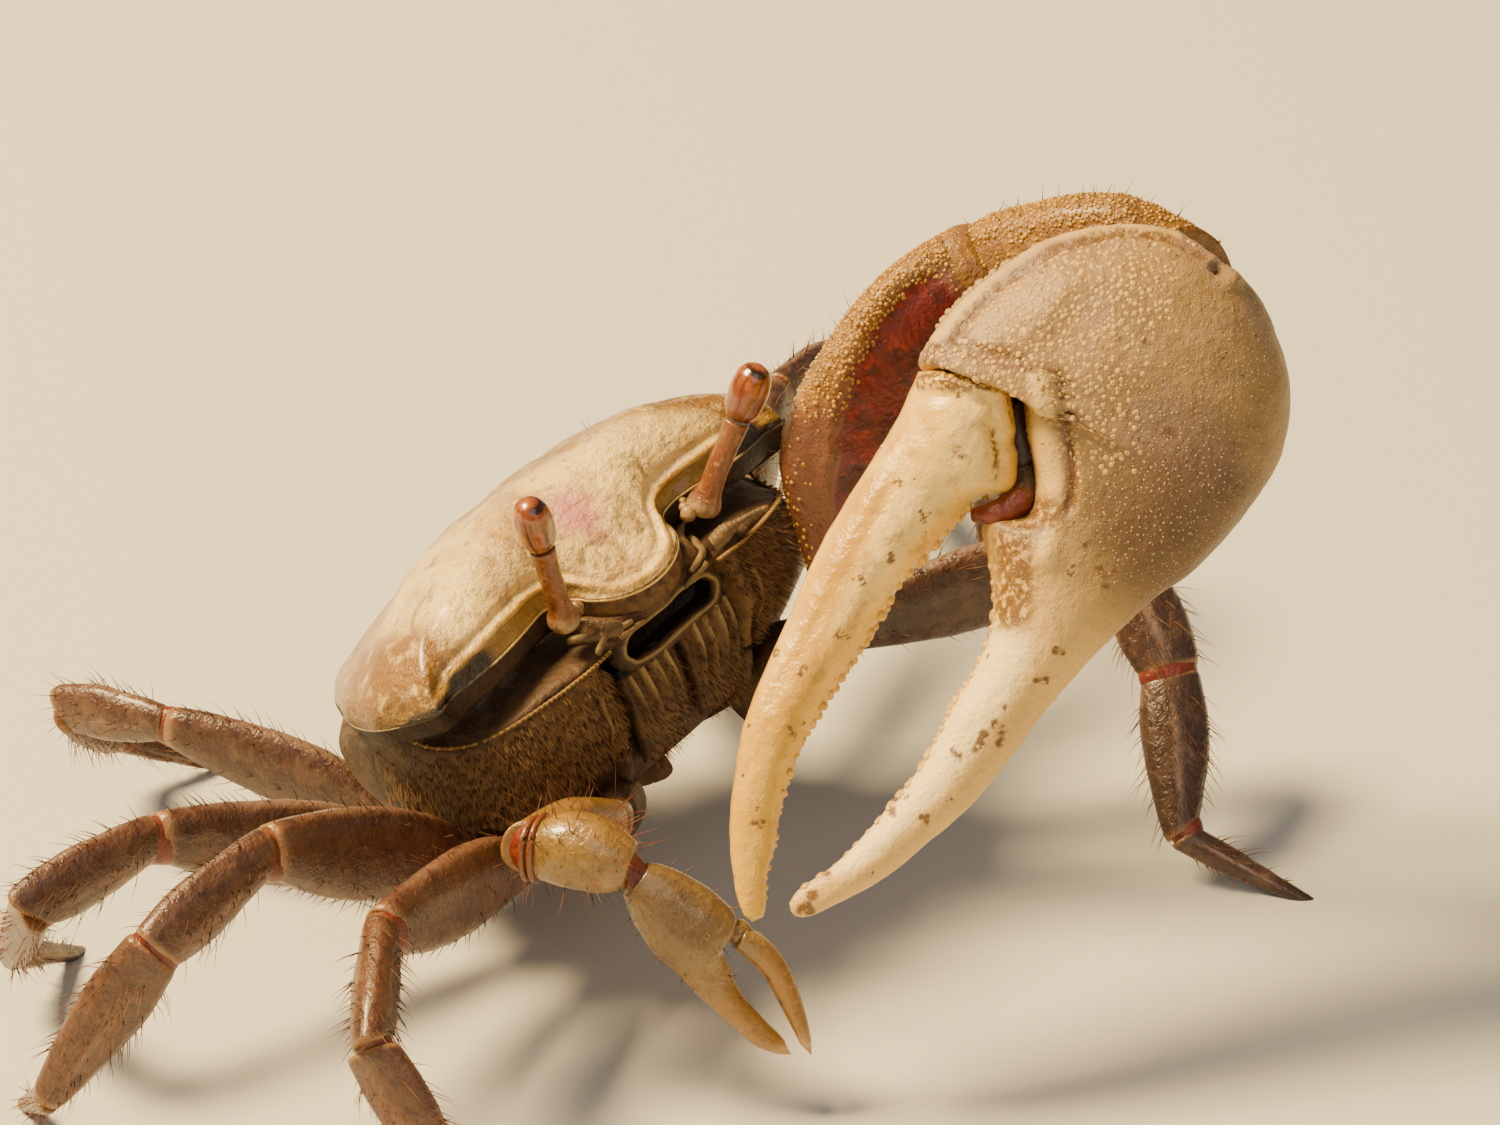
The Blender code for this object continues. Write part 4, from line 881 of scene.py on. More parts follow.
# The slot's rings, (widened, set back), from a cap inside the face, over its lip, and down its throat.
# The cap and the throat are painted near-black as shade.
FUNNEL = [(0.016, 0.045), (0.024, 0.014), (0.017, 0.002), (0.009, -0.002), (0.004, -0.006), (0.000, -0.005),
          (-0.003, 0.002), (-0.005, 0.014), (-0.006, 0.030), (-0.010, 0.050)]
funnel = from_body(np.array([mouth_ring(*ring) for ring in FUNNEL]))[:, ::-1]
lip = np.array([0, 0, 0.1, 0.3, 0.75, 0.6, 0.1, 0, 0, 0])[:, None]
dark = np.array([1, 0, 0, 0, 0, 0, 0.3, 1, 1, 1])[:, None]
funnel_skin = skin(funnel, {"lip": lip, "hollow": dark})
# Folds beside the mouth, (side, height) in widths, and their thickness in mm.
FOLDS = [(((0.165, -0.062), (0.140, -0.070), (0.112, -0.074), (0.080, -0.080)), 0.26),
         (((0.120, -0.086), (0.098, -0.090), (0.070, -0.092), (0.052, -0.094)), 0.20),
         (((0.205, -0.150), (0.212, -0.180), (0.208, -0.215), (0.200, -0.250)), 0.16)]
for side in WORDS:
    for places, thick in FOLDS:
        x, z = np.transpose(places)
        path = resampled(from_body(on_wall(x * side, z) + [0, -0.006, 0]), 18)
        bead_parts.append(tube(path, np.linspace(thick, thick * 0.55, 18), 10, {"lip": 0.55}))
put_piece("face_and_flanks", join([face_skin, painted_shade_slab, funnel_skin, *bead_parts]), face_chitin,
          ["face_shell"])

# %% [markdown]
# Legs, arms, eye stalks and feelers are all limbs: ovals carried along a line, taller and narrower by
# a table of stations. The rings at each end lean into the plane of the joint, halfway between the two
# segments' ways, so neighbours face each other squarely across a gap of 0.3 mm.


# %% Limbs
def limb_grid(start, end, height_axis, stations, start_cut=None, end_cut=None, bow=0.0,
              count=32, rings=36, square=2.2, start_gap=GAP / 2, end_gap=GAP / 2):
    """The grid of one limb, its shares along and its angles round.

    Each ring is an oval of the given squareness: across = cos^(2/square) * half width, and up the same
    with sin and the height above or below. Stations are (share along, above, below, half width), in mm.
    """
    start, end = np.asarray(start, float), np.asarray(end, float)
    along = unit(end - start)
    start, end = start + along * start_gap, end - along * end_gap
    length = np.linalg.norm(end - start)
    side = unit(np.cross(height_axis, along))
    rise = np.cross(along, side)
    t = np.linspace(0.0, 1.0, rings)
    where, *sizes = np.transpose(stations)
    top, low, wide = (spline(where, size, t)[:, None] for size in sizes)
    angle = turns(count)
    flat, tall = superellipse(angle, 2 / square)
    a, b = flat * wide, np.where(tall > 0, tall * top, tall * low) + (bow * 4 * t * (1 - t))[:, None]
    s = np.repeat((t * length)[:, None], count, 1)
    for cut, away in ((start_cut, t * length), (end_cut, (1 - t) * length)):
        if cut is not None:
            n = unit(cut)
            fade = np.clip(1 - away / (0.55 * length), 0, 1) ** 1.5
            s = s - (a * (n @ side) + b * (n @ rise)) / (n @ along) * fade[:, None]
    return start + s[..., None] * along + a[..., None] * side + b[..., None] * rise, t[:, None], angle[None]


def rounded_ends(grid, marks, ends=(0, -1), inset=0.10):
    """The grid with its end rings drawn in and a flat ring added inside each, for a rounded rim."""
    grid, caps = grid.copy(), {0: [], -1: []}
    for end in ends:
        middle = grid[end].mean(0)
        out = grid[end] - middle
        reach = np.linalg.norm(out, axis=1, keepdims=True)
        caps[end] = [(middle + out * (1 - np.minimum(2.2 * inset / reach, 0.6)))[None]]
        grid[end] = middle + out * (1 - np.minimum(0.7 * inset / reach, 0.4))
    added = (len(caps[0]), len(caps[-1]))
    marks = {name: np.pad(np.broadcast_to(mark, grid.shape[:2]), (added, (0, 0)), "edge")
             for name, mark in marks.items()}
    return np.concatenate([*caps[0], grid, *caps[-1]]), marks


def sleeve(ring_a, ring_b, swell=0.85, rows=7):
    """Soft joint skin: rings blended between two limb rings, drawn in to a share of their size."""
    a, b = (ring.mean(0) + (ring - ring.mean(0)) * swell for ring in (ring_a, ring_b))
    t = np.linspace(0, 1, rows)[:, None, None]
    grid = a * (1 - t) + b * t
    middle = grid.mean(1, keepdims=True)
    return skin(middle + (grid - middle) * (1 + 0.10 * np.sin(math.pi * t)))


def between(a, b):
    """The way halfway between two ways."""
    return unit(unit(a) + unit(b))


print("limb helpers ready")

# %% [markdown]
# Each walking leg has a long flat merus, a short carpus, a ridged propodus and a dactyl that tapers to
# a horny claw. The pose gives the way each segment heads over the floor and the height of each joint.
# Ridges run along the segments, and the thin red skin of the joints shows in the gaps.

# %% Leg sizes and poses
# By a leg's number, or by (number, side) with side 1 for left. Limb 1 is the claw's arm.
HIPS = {1: (0.240, -0.035, -0.372), 2: (0.295, 0.070, -0.378), 3: (0.310, 0.170, -0.378),
        4: (0.310, 0.270, -0.380), 5: (0.268, 0.362, -0.386)}
LEG_LENGTHS = {2: (15.5, 7.0, 8.5, 6.4), 3: (16.5, 7.6, 9.6, 7.4), 4: (16.0, 7.2, 9.2, 7.4),
               5: (13.0, 5.8, 7.2, 6.4)}
LEG_GIRTH = {2: 1.06, 3: 1.08, 4: 1.02, 5: 0.85}
# Headings over the floor in degrees, and the heights of knee, carpus's end and propodus's end in mm.
LEG_POSES = {
    (2, 1): ((-24, -100, -130, -60), (13.6, 8.4, 2.6)), (3, 1): ((24, 8, 0, -12), (19.8, 16.4, 7.4)),
    (4, 1): ((34, 20, 8, -5), (13.6, 11.6, 4.2)), (5, 1): ((58, 46, 35, 20), (9.0, 7.8, 3.0)),
    (2, -1): ((198, 222, 290, 330), (12.6, 10.2, 3.0)), (3, -1): ((184, 180, 140, 60), (14.6, 12.2, 4.2)),
    (4, -1): ((165, 172, 60, 20), (11.6, 10.2, 3.6)), (5, -1): ((120, 106, 20, -20), (8.6, 7.8, 3.0))}
# Each segment's stations, the depth and count of its ridges, its bristles' tries and their weight.
SEGMENTS = {
    "merus": ([(0.0, 0.95, 0.95, 0.75), (0.14, 1.5, 1.3, 0.95), (0.45, 2.15, 2.0, 1.1),
               (0.8, 1.75, 1.75, 1.0), (1.0, 1.2, 1.2, 0.9)], (0.20, 2), 90, 0.25),
    "carpus": ([(0.0, 1.15, 1.1, 0.85), (0.3, 1.55, 1.4, 0.95), (0.75, 1.8, 1.6, 1.0), (1.0, 1.5, 1.4, 0.85)],
               (0.12, 4), 90, 1.0),
    "propodus": ([(0.0, 1.4, 1.35, 0.8), (0.3, 1.6, 1.5, 0.85), (0.7, 1.25, 1.2, 0.75),
                  (1.0, 0.8, 0.75, 0.6)], (0.13, 4), 150, 1.0),
    "dactyl": ([(0.0, 0.72, 0.7, 0.55), (0.3, 0.68, 0.62, 0.5), (0.7, 0.5, 0.45, 0.38),
                (1.0, 0.36, 0.36, 0.34)], (0.07, 4), 60, 1.0),
}
# The way the upper edge of a leg faces beyond its knee, where that is not straight up.
LEG_LEAN = {(2, 1): (0.9, -0.4, 0.3)}
# How rusty each leg is: the crab's right legs are redder than its left ones.
RUST = {(2, -1): 0.65, (3, -1): 0.55, (4, -1): 0.45, (5, -1): 0.4, (2, 1): 0.0, (3, 1): 0.3, (4, 1): 0.2,
        (5, 1): 0.2}
HIP_RISE, HIP_LENGTH = 0.10, 3.0


def hip_point(number, side):
    """Where a limb leaves the body, in mm."""
    return from_body(np.array(HIPS[number]) * [side, 1, 1])


def heading(degrees, rise):
    """A unit way from a heading over the floor and its rise."""
    flat, a = math.sqrt(max(1.0 - rise * rise, 0.0)), math.radians(degrees)
    return np.array([math.cos(a) * flat, math.sin(a) * flat, rise])


def leg_joints(number, side):
    """Hip, hip joint's end, knee, carpus's end, propodus's end and foot of one leg."""
    ways, heights = LEG_POSES[(number, side)]
    hip = hip_point(number, side)
    joints = [hip, hip + heading(ways[0], HIP_RISE) * HIP_LENGTH]
    for way, length, height in zip(ways, LEG_LENGTHS[number], (*heights, 0.0)):
        rise = (height - joints[-1][2]) / length
        joints.append(joints[-1] + heading(way, max(-0.995, min(0.995, rise))) * length)
    return joints


print("left second leg's foot:", leg_joints(2, 1)[-1].round(1))


# %% Walking legs
def ridged(grid, t, angle, depth, count):
    """Pushes ridges out along the normals: depth * ((1 + cos(count * angle)) / 2)^4, faded at the ends."""
    crest = ((1 + np.cos(count * (angle - math.pi / 2))) / 2) ** 4
    fade = np.sin(math.pi * np.clip(t, 0, 1)) ** 0.5
    return pushed(grid, depth * crest * fade - depth * 0.25 * fade), crest * fade


def grow(coat, shares, *spec):
    """Adds bristles and their patches to a coat, a list of such pairs."""
    coat.append((bristles(*spec), hair_uv(shares)))


joint_parts, leg_coat = [], []
for number, side in LEG_POSES:
    joints, girth = leg_joints(number, side), LEG_GIRTH[number]
    ways = [unit(b - a) for a, b in zip(joints[:-1], joints[1:])]
    cuts = [between(a, b) for a, b in zip(ways[:-1], ways[1:])] + [np.array([0.0, 0.0, -1.0])]
    parts, last_ring = [], None
    for k, (part, (stations, ridge, tries, share)) in enumerate(SEGMENTS.items()):
        last, index = part == "dactyl", len(leg_coat)
        grid, t, angle = limb_grid(
            joints[k + 1], joints[k + 2], LEG_LEAN.get((number, side), (0, 0, 1)) if k else (0, 0, 1),
            np.array(stations) * [1, girth, girth, girth], cuts[k], cuts[k + 1], count=24, rings=28,
            square=2.3, end_gap=0.0 if last else GAP / 2)
        floor = grid[-1].copy()
        grid, crest = ridged(grid, t, angle, *ridge)
        grid = pushed(grid, uneven(grid, 0.10, 0.8, 11) * np.sin(math.pi * t))
        if last:
            grid[-1] = floor
        # The ridge mark paints the ridge crests paler, a painted highlight.
        marks = {"ridge": crest, "rust": RUST[(number, side)] * (0.6 + 0.8 * noise(grid, 2.6, 13)),
                 "joint": hump(t, 0, 0.04) + (not last) * hump(t, 1, 0.05),
                 "horn": ramp(t, 0.55, 0.95) * last}
        if last_ring is not None:
            joint_parts.append(sleeve(last_ring, grid[2]))
        last_ring = grid[-3]
        weight = (0.15 + crest) * share * ramp(t, 0.02, 0.15)
        spots, normals, along, at = scatter(grid, weight, 0.30, tries, 100 + index)
        rng = np.random.default_rng(200 + index)
        way = unit(normals * 0.8 + along * 0.7 + rng.normal(0, 0.15, normals.shape))
        length = rng.uniform(0.5, 1.3, len(spots)) * (1.0 if part in ("merus", "dactyl") else 1.2)
        length = np.minimum(length, np.clip(spots[:, 2] - 0.12, 0.02, None) / 1.3)
        grow(leg_coat, (at + [index // 6, index % 6]) / 6, spots, way, unit(along) * 0.25, length, 0.032,
             {"red": 0.55})
        parts.append(skin(*rounded_ends(grid, marks, (0,) if last else (0, -1))))
    put_piece(f"walking_leg_{number}_{WORDS[side]}", join(parts), leg_chitin,
              [f"leg{number}_{WORDS[side]}_{part}" for part in SEGMENTS])
print("leg bristles:", sum(len(made[0]) for made, _ in leg_coat) // BRISTLE_POINTS)

# %% [markdown]
# The underside is the breastplate, a shallow dish with a short boss for each limb, and the male's
# narrow tail folded forward beneath it. They are seldom seen, yet a model is judged from all sides, so
# they get the same fine rings. The tail has a furrow between its segments.

# %% Breastplate and tail
BREAST_TOP, BREAST_BOTTOM = SHELL_CUT_Z - gap / 2, -0.400
breast = [wall_ring(loop[::2], z)[0] for z in (BREAST_TOP, -0.302, -0.315, -0.330, -0.345, -0.358, -0.370)]
breast[0][:, 2] = BREAST_TOP
lowest = breast[-1]
for share, z in ((0.62, -0.388), (0.48, -0.394), (0.34, -0.398), (0.15, BREAST_BOTTOM)):
    ring = drawn_in(lowest, share / 0.74, SHELL_CENTRE_Y)
    ring[:, 2] = z
    breast.append(ring)
under = [skin(from_body(np.array(breast)[::-1]), {}, from_body([0, SHELL_CENTRE_Y, BREAST_BOTTOM]),
              from_body([0, SHELL_CENTRE_Y, BREAST_TOP]))]


def boss(hip, way, high, wide, reach):
    """A short hip joint out of the breastplate along a limb's way."""
    stations = [(0.0, high, high, wide), (0.6, high * 1.06, high * 1.06, wide * 1.06),
                (1.0, high, high, wide)]
    grid = limb_grid(hip - way * 3.4, hip + way * reach, (0, 0, 1), stations, count=24, rings=14,
                     start_gap=0.0)[0]
    grid, marks = rounded_ends(grid, {})
    joint_parts.append(sleeve(grid[-3], grid[-3] + way * 0.9, 0.75, 3))
    return skin(grid, marks)


# The three joints beyond the hip of each arm, in mm.
GREAT_ARM = np.array([[10.6, -6.3, 14.6], [18.5, -8.4, 32.3], [22.95, -18.35, 33.75]])
SMALL_ARM = np.array([[-6.0, -6.9, 10.6], [-12.9, -8.0, 12.6], [-10.3, -12.9, 12.5]])
for number in (2, 3, 4, 5):
    for side in WORDS:
        hip, way = hip_point(number, side), heading(LEG_POSES[(number, side)][0][0], HIP_RISE)
        under.append(boss(hip, way, 1.25 * LEG_GIRTH[number], LEG_GIRTH[number], HIP_LENGTH - GAP / 2))
for side, arm, high in ((1, GREAT_ARM, 1.6), (-1, SMALL_ARM, 1.3)):
    hip = hip_point(1, side)
    under.append(boss(hip, unit(arm[0] + STANCE - hip), high, high * 0.85, 1.3 - GAP / 2))
put_piece("breastplate", join(under), face_chitin, ["sternum"])

# Along the tail: y, z and half width, in widths.
tail_table = np.array([(0.555, -0.150, 0.125), (0.553, -0.220, 0.125), (0.535, -0.290, 0.110),
                       (0.500, -0.350, 0.095), (0.445, -0.399, 0.080), (0.370, -0.425, 0.066),
                       (0.290, -0.436, 0.054), (0.210, -0.438, 0.044), (0.150, -0.435, 0.034),
                       (0.120, -0.431, 0.020)])
at = np.linspace(0, 9, 64)
tail = resampled(tail_table, 64)
line = np.column_stack([0 * at, tail[:, 0], tail[:, 1]])
down = np.cross([1.0, 0.0, 0.0], unit(np.gradient(line, axis=0)))
c, s = superellipse(turns(32), 2 / 3)
seam = (1 - 0.25 * hump((at % 1.5) - 0.75, 0, 0.09))[:, None, None]
tail_grid = line[:, None] + c[None, :, None] * tail[:, 2][:, None, None] * [1, 0, 0] * seam ** 0.3 \
    + s[None, :, None] * down[:, None] * 0.020 * seam
put_piece("folded_tail", skin(from_body(tail_grid[::-1])), face_chitin, ["abdomen"])

# %% [markdown]
# The outer mouth plates stand like two doors below the slot. Their upper part is fluted, with pale
# crests, so each is a flattened oval per height with a ripple across its front. The pale of the crests is
# partly a painted highlight, and the plates' tops inside the slot are painted near-black as shade.

# %% Mouth plates
# Down a mouth plate: height, half width and half thickness, in widths.
mouth_table = np.array([(-0.142, 0.052, 0.010), (-0.150, 0.058, 0.017), (-0.200, 0.060, 0.021),
                        (-0.260, 0.058, 0.020), (-0.310, 0.052, 0.018), (-0.340, 0.044, 0.015),
                        (-0.352, 0.030, 0.010)])
high, wide, thick = resampled(mouth_table, 40).T[..., None]
c, s = (f[None] for f in superellipse(turns(96), 2 / 3))
set_back = np.array([[SHELL_CENTRE_Y - WALL_FRONT * wall_draw(z) + MOUTH_DEPTH - gap] for z in high[:, 0]])
fluted = ramp(-high, 0.140, 0.152) * ramp(high, -0.30, -0.22)
front = (s < 0) * ramp(np.abs(s), 0.5, 0.95)
mouth_coat = []
for side, word in WORDS.items():
    x = side * 0.077 + c * wide * 1.12
    ripple = np.cos(2 * math.pi * (np.abs(x) - 0.010 + 0.9 * (high + 0.15) ** 2) / 0.030)
    y = set_back - thick - 0.003 + s * thick - 0.0100 * ripple * fluted * front
    plate = from_body(np.stack(np.broadcast_arrays(x, y, high), -1)[::-1])
    # Pale crests on the flutes, partly a painted highlight; the tops inside the slot are painted near-black
    # as shade.
    crest = 0.95 * (ripple * 0.5 + 0.5) ** 1.3 * fluted * front
    marks = {"lip": crest * ramp(high, -0.27, -0.17), "flank": 0.55 * front,
             "hollow": ramp(high, -0.166, -0.154)}
    marks = {k: np.broadcast_to(v, plate.shape[:2])[::-1] for k, v in marks.items()}
    put_piece(f"mouth_plate_{word}", skin(plate, marks), face_chitin, [f"maxilliped_{word}"])
    weight = (front * (ramp(-high, 0.22, 0.28) * 0.8 + 0.05))[::-1]
    spots, normals, _, at = scatter(plate, weight, 0.30, 400, 31 + side)
    rng = np.random.default_rng(41 + side)
    way = unit(normals * 0.6 + BODY_TURN @ [0.1 * -side, -0.3, -0.9] + rng.normal(0, 0.12, normals.shape))
    grow(mouth_coat, (at + [0, 0.5 * (side > 0) + 0.5]) * [1, 0.5], spots, way, way * 0,
         rng.uniform(0.4, 0.9, len(spots)), 0.032)

# %% [markdown]
# Each eye is a slim stalk with a tall glossy cornea on its end. The stalk is pale at its foot and
# swells under the eye. The cornea has a pale, finely streaked lower side and a dark spot on top.

# %% Eyes and feelers
STALK_FOOT = np.array([0.180, -0.074, -0.026])
STALK_WAYS = {1: (0.479, -0.520, 0.692), -1: (-0.115, -0.385, 0.915)}
STALK_LUMPS = np.array([(0.152, -0.086, -0.004), (0.162, -0.072, 0.004), (0.174, -0.060, 0.010)])
STALK_LENGTH, CORNEA_LENGTH, FEELER_LENGTH = 5.5, 3.0, 3.6


def round_stations(*pairs):
    """Stations of a round limb from its (share along, radius) pairs."""
    return [(share, radius, radius, radius) for share, radius in pairs]


STALK = round_stations((0.0, 0.25), (0.03, 0.60), (0.08, 0.80), (0.15, 0.80), (0.24, 0.64), (0.5, 0.57),
                       (0.85, 0.60), (1.0, 0.66))
CORNEA = [(0.0, 0.66, 0.66, 0.66), (0.10, 0.84, 0.84, 0.80), (0.35, 0.97, 0.97, 0.92),
          (0.65, 0.95, 0.95, 0.90), (0.85, 0.78, 0.78, 0.74), (0.96, 0.46, 0.46, 0.44),
          (1.0, 0.16, 0.16, 0.16)]
FEELER = round_stations((0.0, 0.42), (0.3, 0.40), (0.4, 0.27), (1.0, 0.16))
for side, word in WORDS.items():
    foot, way = from_body(STALK_FOOT * [side, 1, 1]), BODY_TURN @ unit(STALK_WAYS[side])
    neck = foot + way * STALK_LENGTH
    grid, t, _ = limb_grid(foot, neck, (0, -1, 0.2), STALK, rings=40, start_gap=0.0)
    grid = pushed(grid, uneven(grid, 0.10, 0.9, 21))
    grid, marks = rounded_ends(grid, {"foot": 1 - ramp(t, 0.10, 0.30)}, inset=0.06)
    facing = np.tile(BODY_TURN @ unit([0.0, -0.6, 0.8]), (3, 1))
    lumps = beads(from_body(STALK_LUMPS * [side, 1, 1]), facing, np.array([0.40, 0.30, 0.20]),
                  np.array([0.40, 0.26, 0.16]), {"foot": 0.9}, 16)
    put_piece(f"eye_stalk_{word}", join([skin(grid, marks), lumps]), stalk_chitin,
              [f"eyestalk_{word}"])
    grid, t, angle = limb_grid(neck, neck + way * CORNEA_LENGTH, (0, -1, 0.2), CORNEA, count=40, rings=40,
                               start_gap=0.05, end_gap=0.02)
    out = grid_normals(grid)
    lower = unit(BODY_TURN @ unit([0.75, -0.65, -0.1]))
    pale = ramp(out @ lower, 0.30, 0.80) * ramp(0.80 - t, 0.0, 0.35) * ramp(t, 0.03, 0.12)
    dark = hump(t, 0.90, 0.07) * ramp(out @ unit(BODY_TURN @ [0.1, -0.8, 0.6]), 0.55, 0.9)
    streak = noise(np.stack(np.broadcast_arrays(np.cos(angle), np.sin(angle), 0.12 * t), -1), 0.16, 22)
    eye_marks = {"pale": pale, "dark": dark, "streak": streak, "seam": hump(t, 0.02, 0.035)}
    put_piece(f"eye_{word}", skin(grid, eye_marks), eye_gloss, [f"cornea_{word}"])
    foot = from_body(np.array([0.128 * side, -0.132, -0.060]))
    way = BODY_TURN @ unit([0.80 * side, -0.50, 0.10])
    grid, t, _ = limb_grid(foot, foot + way * FEELER_LENGTH, (0, 0, 1), FEELER, bow=0.3, count=16, rings=60)
    grid = pushed(grid, 0.015 * np.cos(t * 80))
    put_piece(f"feeler_{word}", skin(grid, {"lip": 0.45}), face_chitin, [f"antenna_{word}"])

# %% [markdown]
# The great claw lies in one plane. Its shape is a ladder: rungs drawn across the claw from its upper
# to its lower edge, each with a thickness outwards and inwards, and a superellipse hung on each rung.
# The palm's lower finger is part of the palm, and the upper finger is a piece of its own. Each rung
# is (upper end along and up, lower end along and up, thickness out, thickness in, squareness).

# %% The great claw's rungs
GREAT_WRIST = np.array([21.22, -20.72, 35.61])
GREAT_ALONG = np.array([-0.7355, 0.0261, -0.6770])
GREAT_RISE = np.array([-0.4034, 0.7859, 0.4685])
GREAT_PALM = [
    (-0.6, 0.6, -0.1, -0.9, 0.9, 0.8, 2.2), (-0.6, 2.8, 0.0, -2.7, 2.4, 1.5, 2.2),
    (0.3, 4.7, 1.2, -4.5, 3.5, 2.0, 2.2), (1.8, 6.5, 2.4, -5.8, 4.3, 2.5, 2.3),
    (3.4, 7.8, 3.7, -6.6, 4.8, 2.8, 2.3), (5.4, 8.8, 5.0, -7.15, 4.9, 3.0, 2.3),
    (7.6, 9.6, 6.4, -7.5, 4.8, 3.0, 2.4), (9.8, 9.9, 7.6, -7.5, 4.6, 2.9, 2.7),
    (11.4, 9.5, 8.6, -7.4, 4.4, 2.8, 3.2), (10.4, 7.3, 9.8, -7.25, 4.2, 2.7, 3.4),
    (9.8, 5.1, 11.1, -7.05, 3.9, 2.6, 3.2), (11.3, 3.6, 12.6, -6.7, 3.6, 2.5, 3.0),
    (13.0, 2.1, 14.0, -6.2, 3.3, 2.4, 2.6), (14.8, 1.6, 15.2, -5.8, 3.0, 2.3, 2.4),
    (16.0, 3.0, 16.6, -5.4, 2.8, 2.2, 2.3), (17.4, 1.9, 17.9, -5.1, 2.6, 2.1, 2.2),
    (18.9, 0.6, 19.5, -4.8, 2.4, 2.0, 2.2), (20.6, -0.2, 20.8, -4.6, 2.2, 1.9, 2.2),
    (22.6, -0.5, 22.4, -4.4, 2.0, 1.8, 2.2), (24.2, -0.5, 24.1, -4.3, 1.9, 1.7, 2.2),
    (26.0, -0.7, 26.2, -4.1, 1.7, 1.6, 2.2), (28.0, -0.8, 28.5, -3.7, 1.5, 1.4, 2.2),
    (29.8, -0.6, 30.8, -3.0, 1.3, 1.2, 2.2), (31.9, -0.3, 33.1, -2.2, 1.1, 1.0, 2.2),
    (33.8, 0.1, 34.6, -1.4, 0.9, 0.9, 2.2), (35.2, 0.7, 36.1, -0.5, 0.6, 0.6, 2.2),
    (35.9, 0.95, 36.7, 0.0, 0.45, 0.45, 2.1), (36.5, 0.95, 36.9, 0.4, 0.25, 0.25, 2.0)]
GREAT_FINGER = [
    (11.7, 9.4, 10.12, 5.08, 3.0, 2.1, 2.6), (12.9, 9.2, 11.52, 4.0, 3.1, 2.2, 2.4),
    (15.0, 9.0, 13.05, 2.85, 2.9, 2.1, 2.3), (16.5, 9.0, 14.2, 2.4, 2.6, 2.0, 2.2),
    (17.9, 9.0, 15.3, 3.7, 2.3, 1.9, 2.2), (19.2, 9.0, 16.6, 4.0, 2.2, 1.8, 2.2),
    (21.1, 8.9, 17.9, 4.2, 2.1, 1.8, 2.2), (22.7, 8.7, 19.2, 4.4, 2.0, 1.7, 2.2),
    (24.5, 8.4, 20.6, 4.7, 1.9, 1.6, 2.2), (26.9, 8.1, 22.7, 4.6, 1.8, 1.5, 2.2),
    (28.6, 7.8, 24.8, 4.6, 1.7, 1.4, 2.2), (30.6, 7.3, 27.4, 4.6, 1.5, 1.3, 2.2),
    (32.4, 6.6, 29.7, 4.5, 1.3, 1.2, 2.2), (34.2, 5.8, 32.4, 3.9, 1.1, 1.0, 2.2),
    (35.8, 4.8, 34.6, 3.0, 0.9, 0.8, 2.2), (37.0, 3.8, 36.0, 2.5, 0.7, 0.6, 2.2),
    (37.8, 3.05, 37.0, 1.95, 0.5, 0.45, 2.2),
    (38.2, 2.45, 37.75, 1.65, 0.3, 0.3, 2.0)]


def in_plane(claw, flat, out):
    """Points from (along, rise) pairs and distances out of a claw's plane."""
    origin, along, rise = claw
    flat = np.asarray(flat, float)
    return (origin + STANCE + flat[..., :1] * along + flat[..., 1:2] * rise
            - np.asarray(out)[..., None] * np.cross(along, rise))


def ladder_grid(claw, rungs, rows, count):
    """A claw's grid, with its places in the plane, and the shares across (1 upper, -1 lower) and out."""
    table = resampled(np.array(rungs), rows)
    middle, half = (table[:, 0:2] + table[:, 2:4]) / 2, (table[:, 0:2] - table[:, 2:4]) / 2
    across, out = superellipse(turns(count)[None], 2.0 / table[:, 6:7])
    flat = middle[:, None] + half[:, None] * across[..., None]
    depth = -np.where(out > 0, out * table[:, 5:6], out * table[:, 4:5])
    return in_plane(claw, flat, depth), flat, across, -out


def blots(flat, places):
    """Ragged marks: the greatest of four small humps strewn round each (along, rise, width)."""
    rng = np.random.default_rng(60)
    strewn = np.repeat(np.array(places), 4, axis=0)
    strewn[:, :2] += rng.normal(0, 0.6, (len(strewn), 2)) * strewn[:, 2:]
    return np.max([hump(np.linalg.norm(flat - [along, rise], axis=-1), 0, max(0.16, 0.5 * wide))
                   for along, rise, wide in strewn], axis=0)


PALM_DIRT = [(24.5, -3.0, 0.5), (25.2, -2.7, 0.4), (26.3, -1.8, 0.3), (29.4, -0.85, 0.25), (30.3, -0.95, 0.2),
             (19.6, -3.3, 0.2), (21.2, -3.5, 0.2), (34.6, 0.15, 0.2), (29.8, -2.4, 0.3), (15.4, -3.2, 0.4),
             (12.8, -1.9, 0.3), (36.2, 0.4, 0.6)]
FINGER_DIRT = [(21.8, 6.4, 0.25), (26.8, 6.3, 0.35), (29.7, 5.4, 0.3), (14.4, 5.6, 0.32), (20.2, 5.7, 0.2),
               (24.5, 5.8, 0.28), (34.2, 4.2, 0.18), (27.0, 8.0, 0.2), (17.0, 7.4, 0.2), (17.6, 5.6, 0.2)]
print("palm rungs:", len(GREAT_PALM), "finger rungs:", len(GREAT_FINGER))

# %% [markdown]
# The palm's outer face has a rolled upper edge with a furrow below it, a smooth collar round the seat
# of the finger with a furrow behind it, and pale grains that are dense above and fade below. The
# biting edges carry a row of blunt teeth, each sunk well into its finger.

# %% The palm
def relief(parts):
    """The sum of amount * hump(distance, 0, spread) over (distance, amount, spread) parts."""
    return sum(amount * hump(distance, 0, spread) for distance, amount, spread in parts)


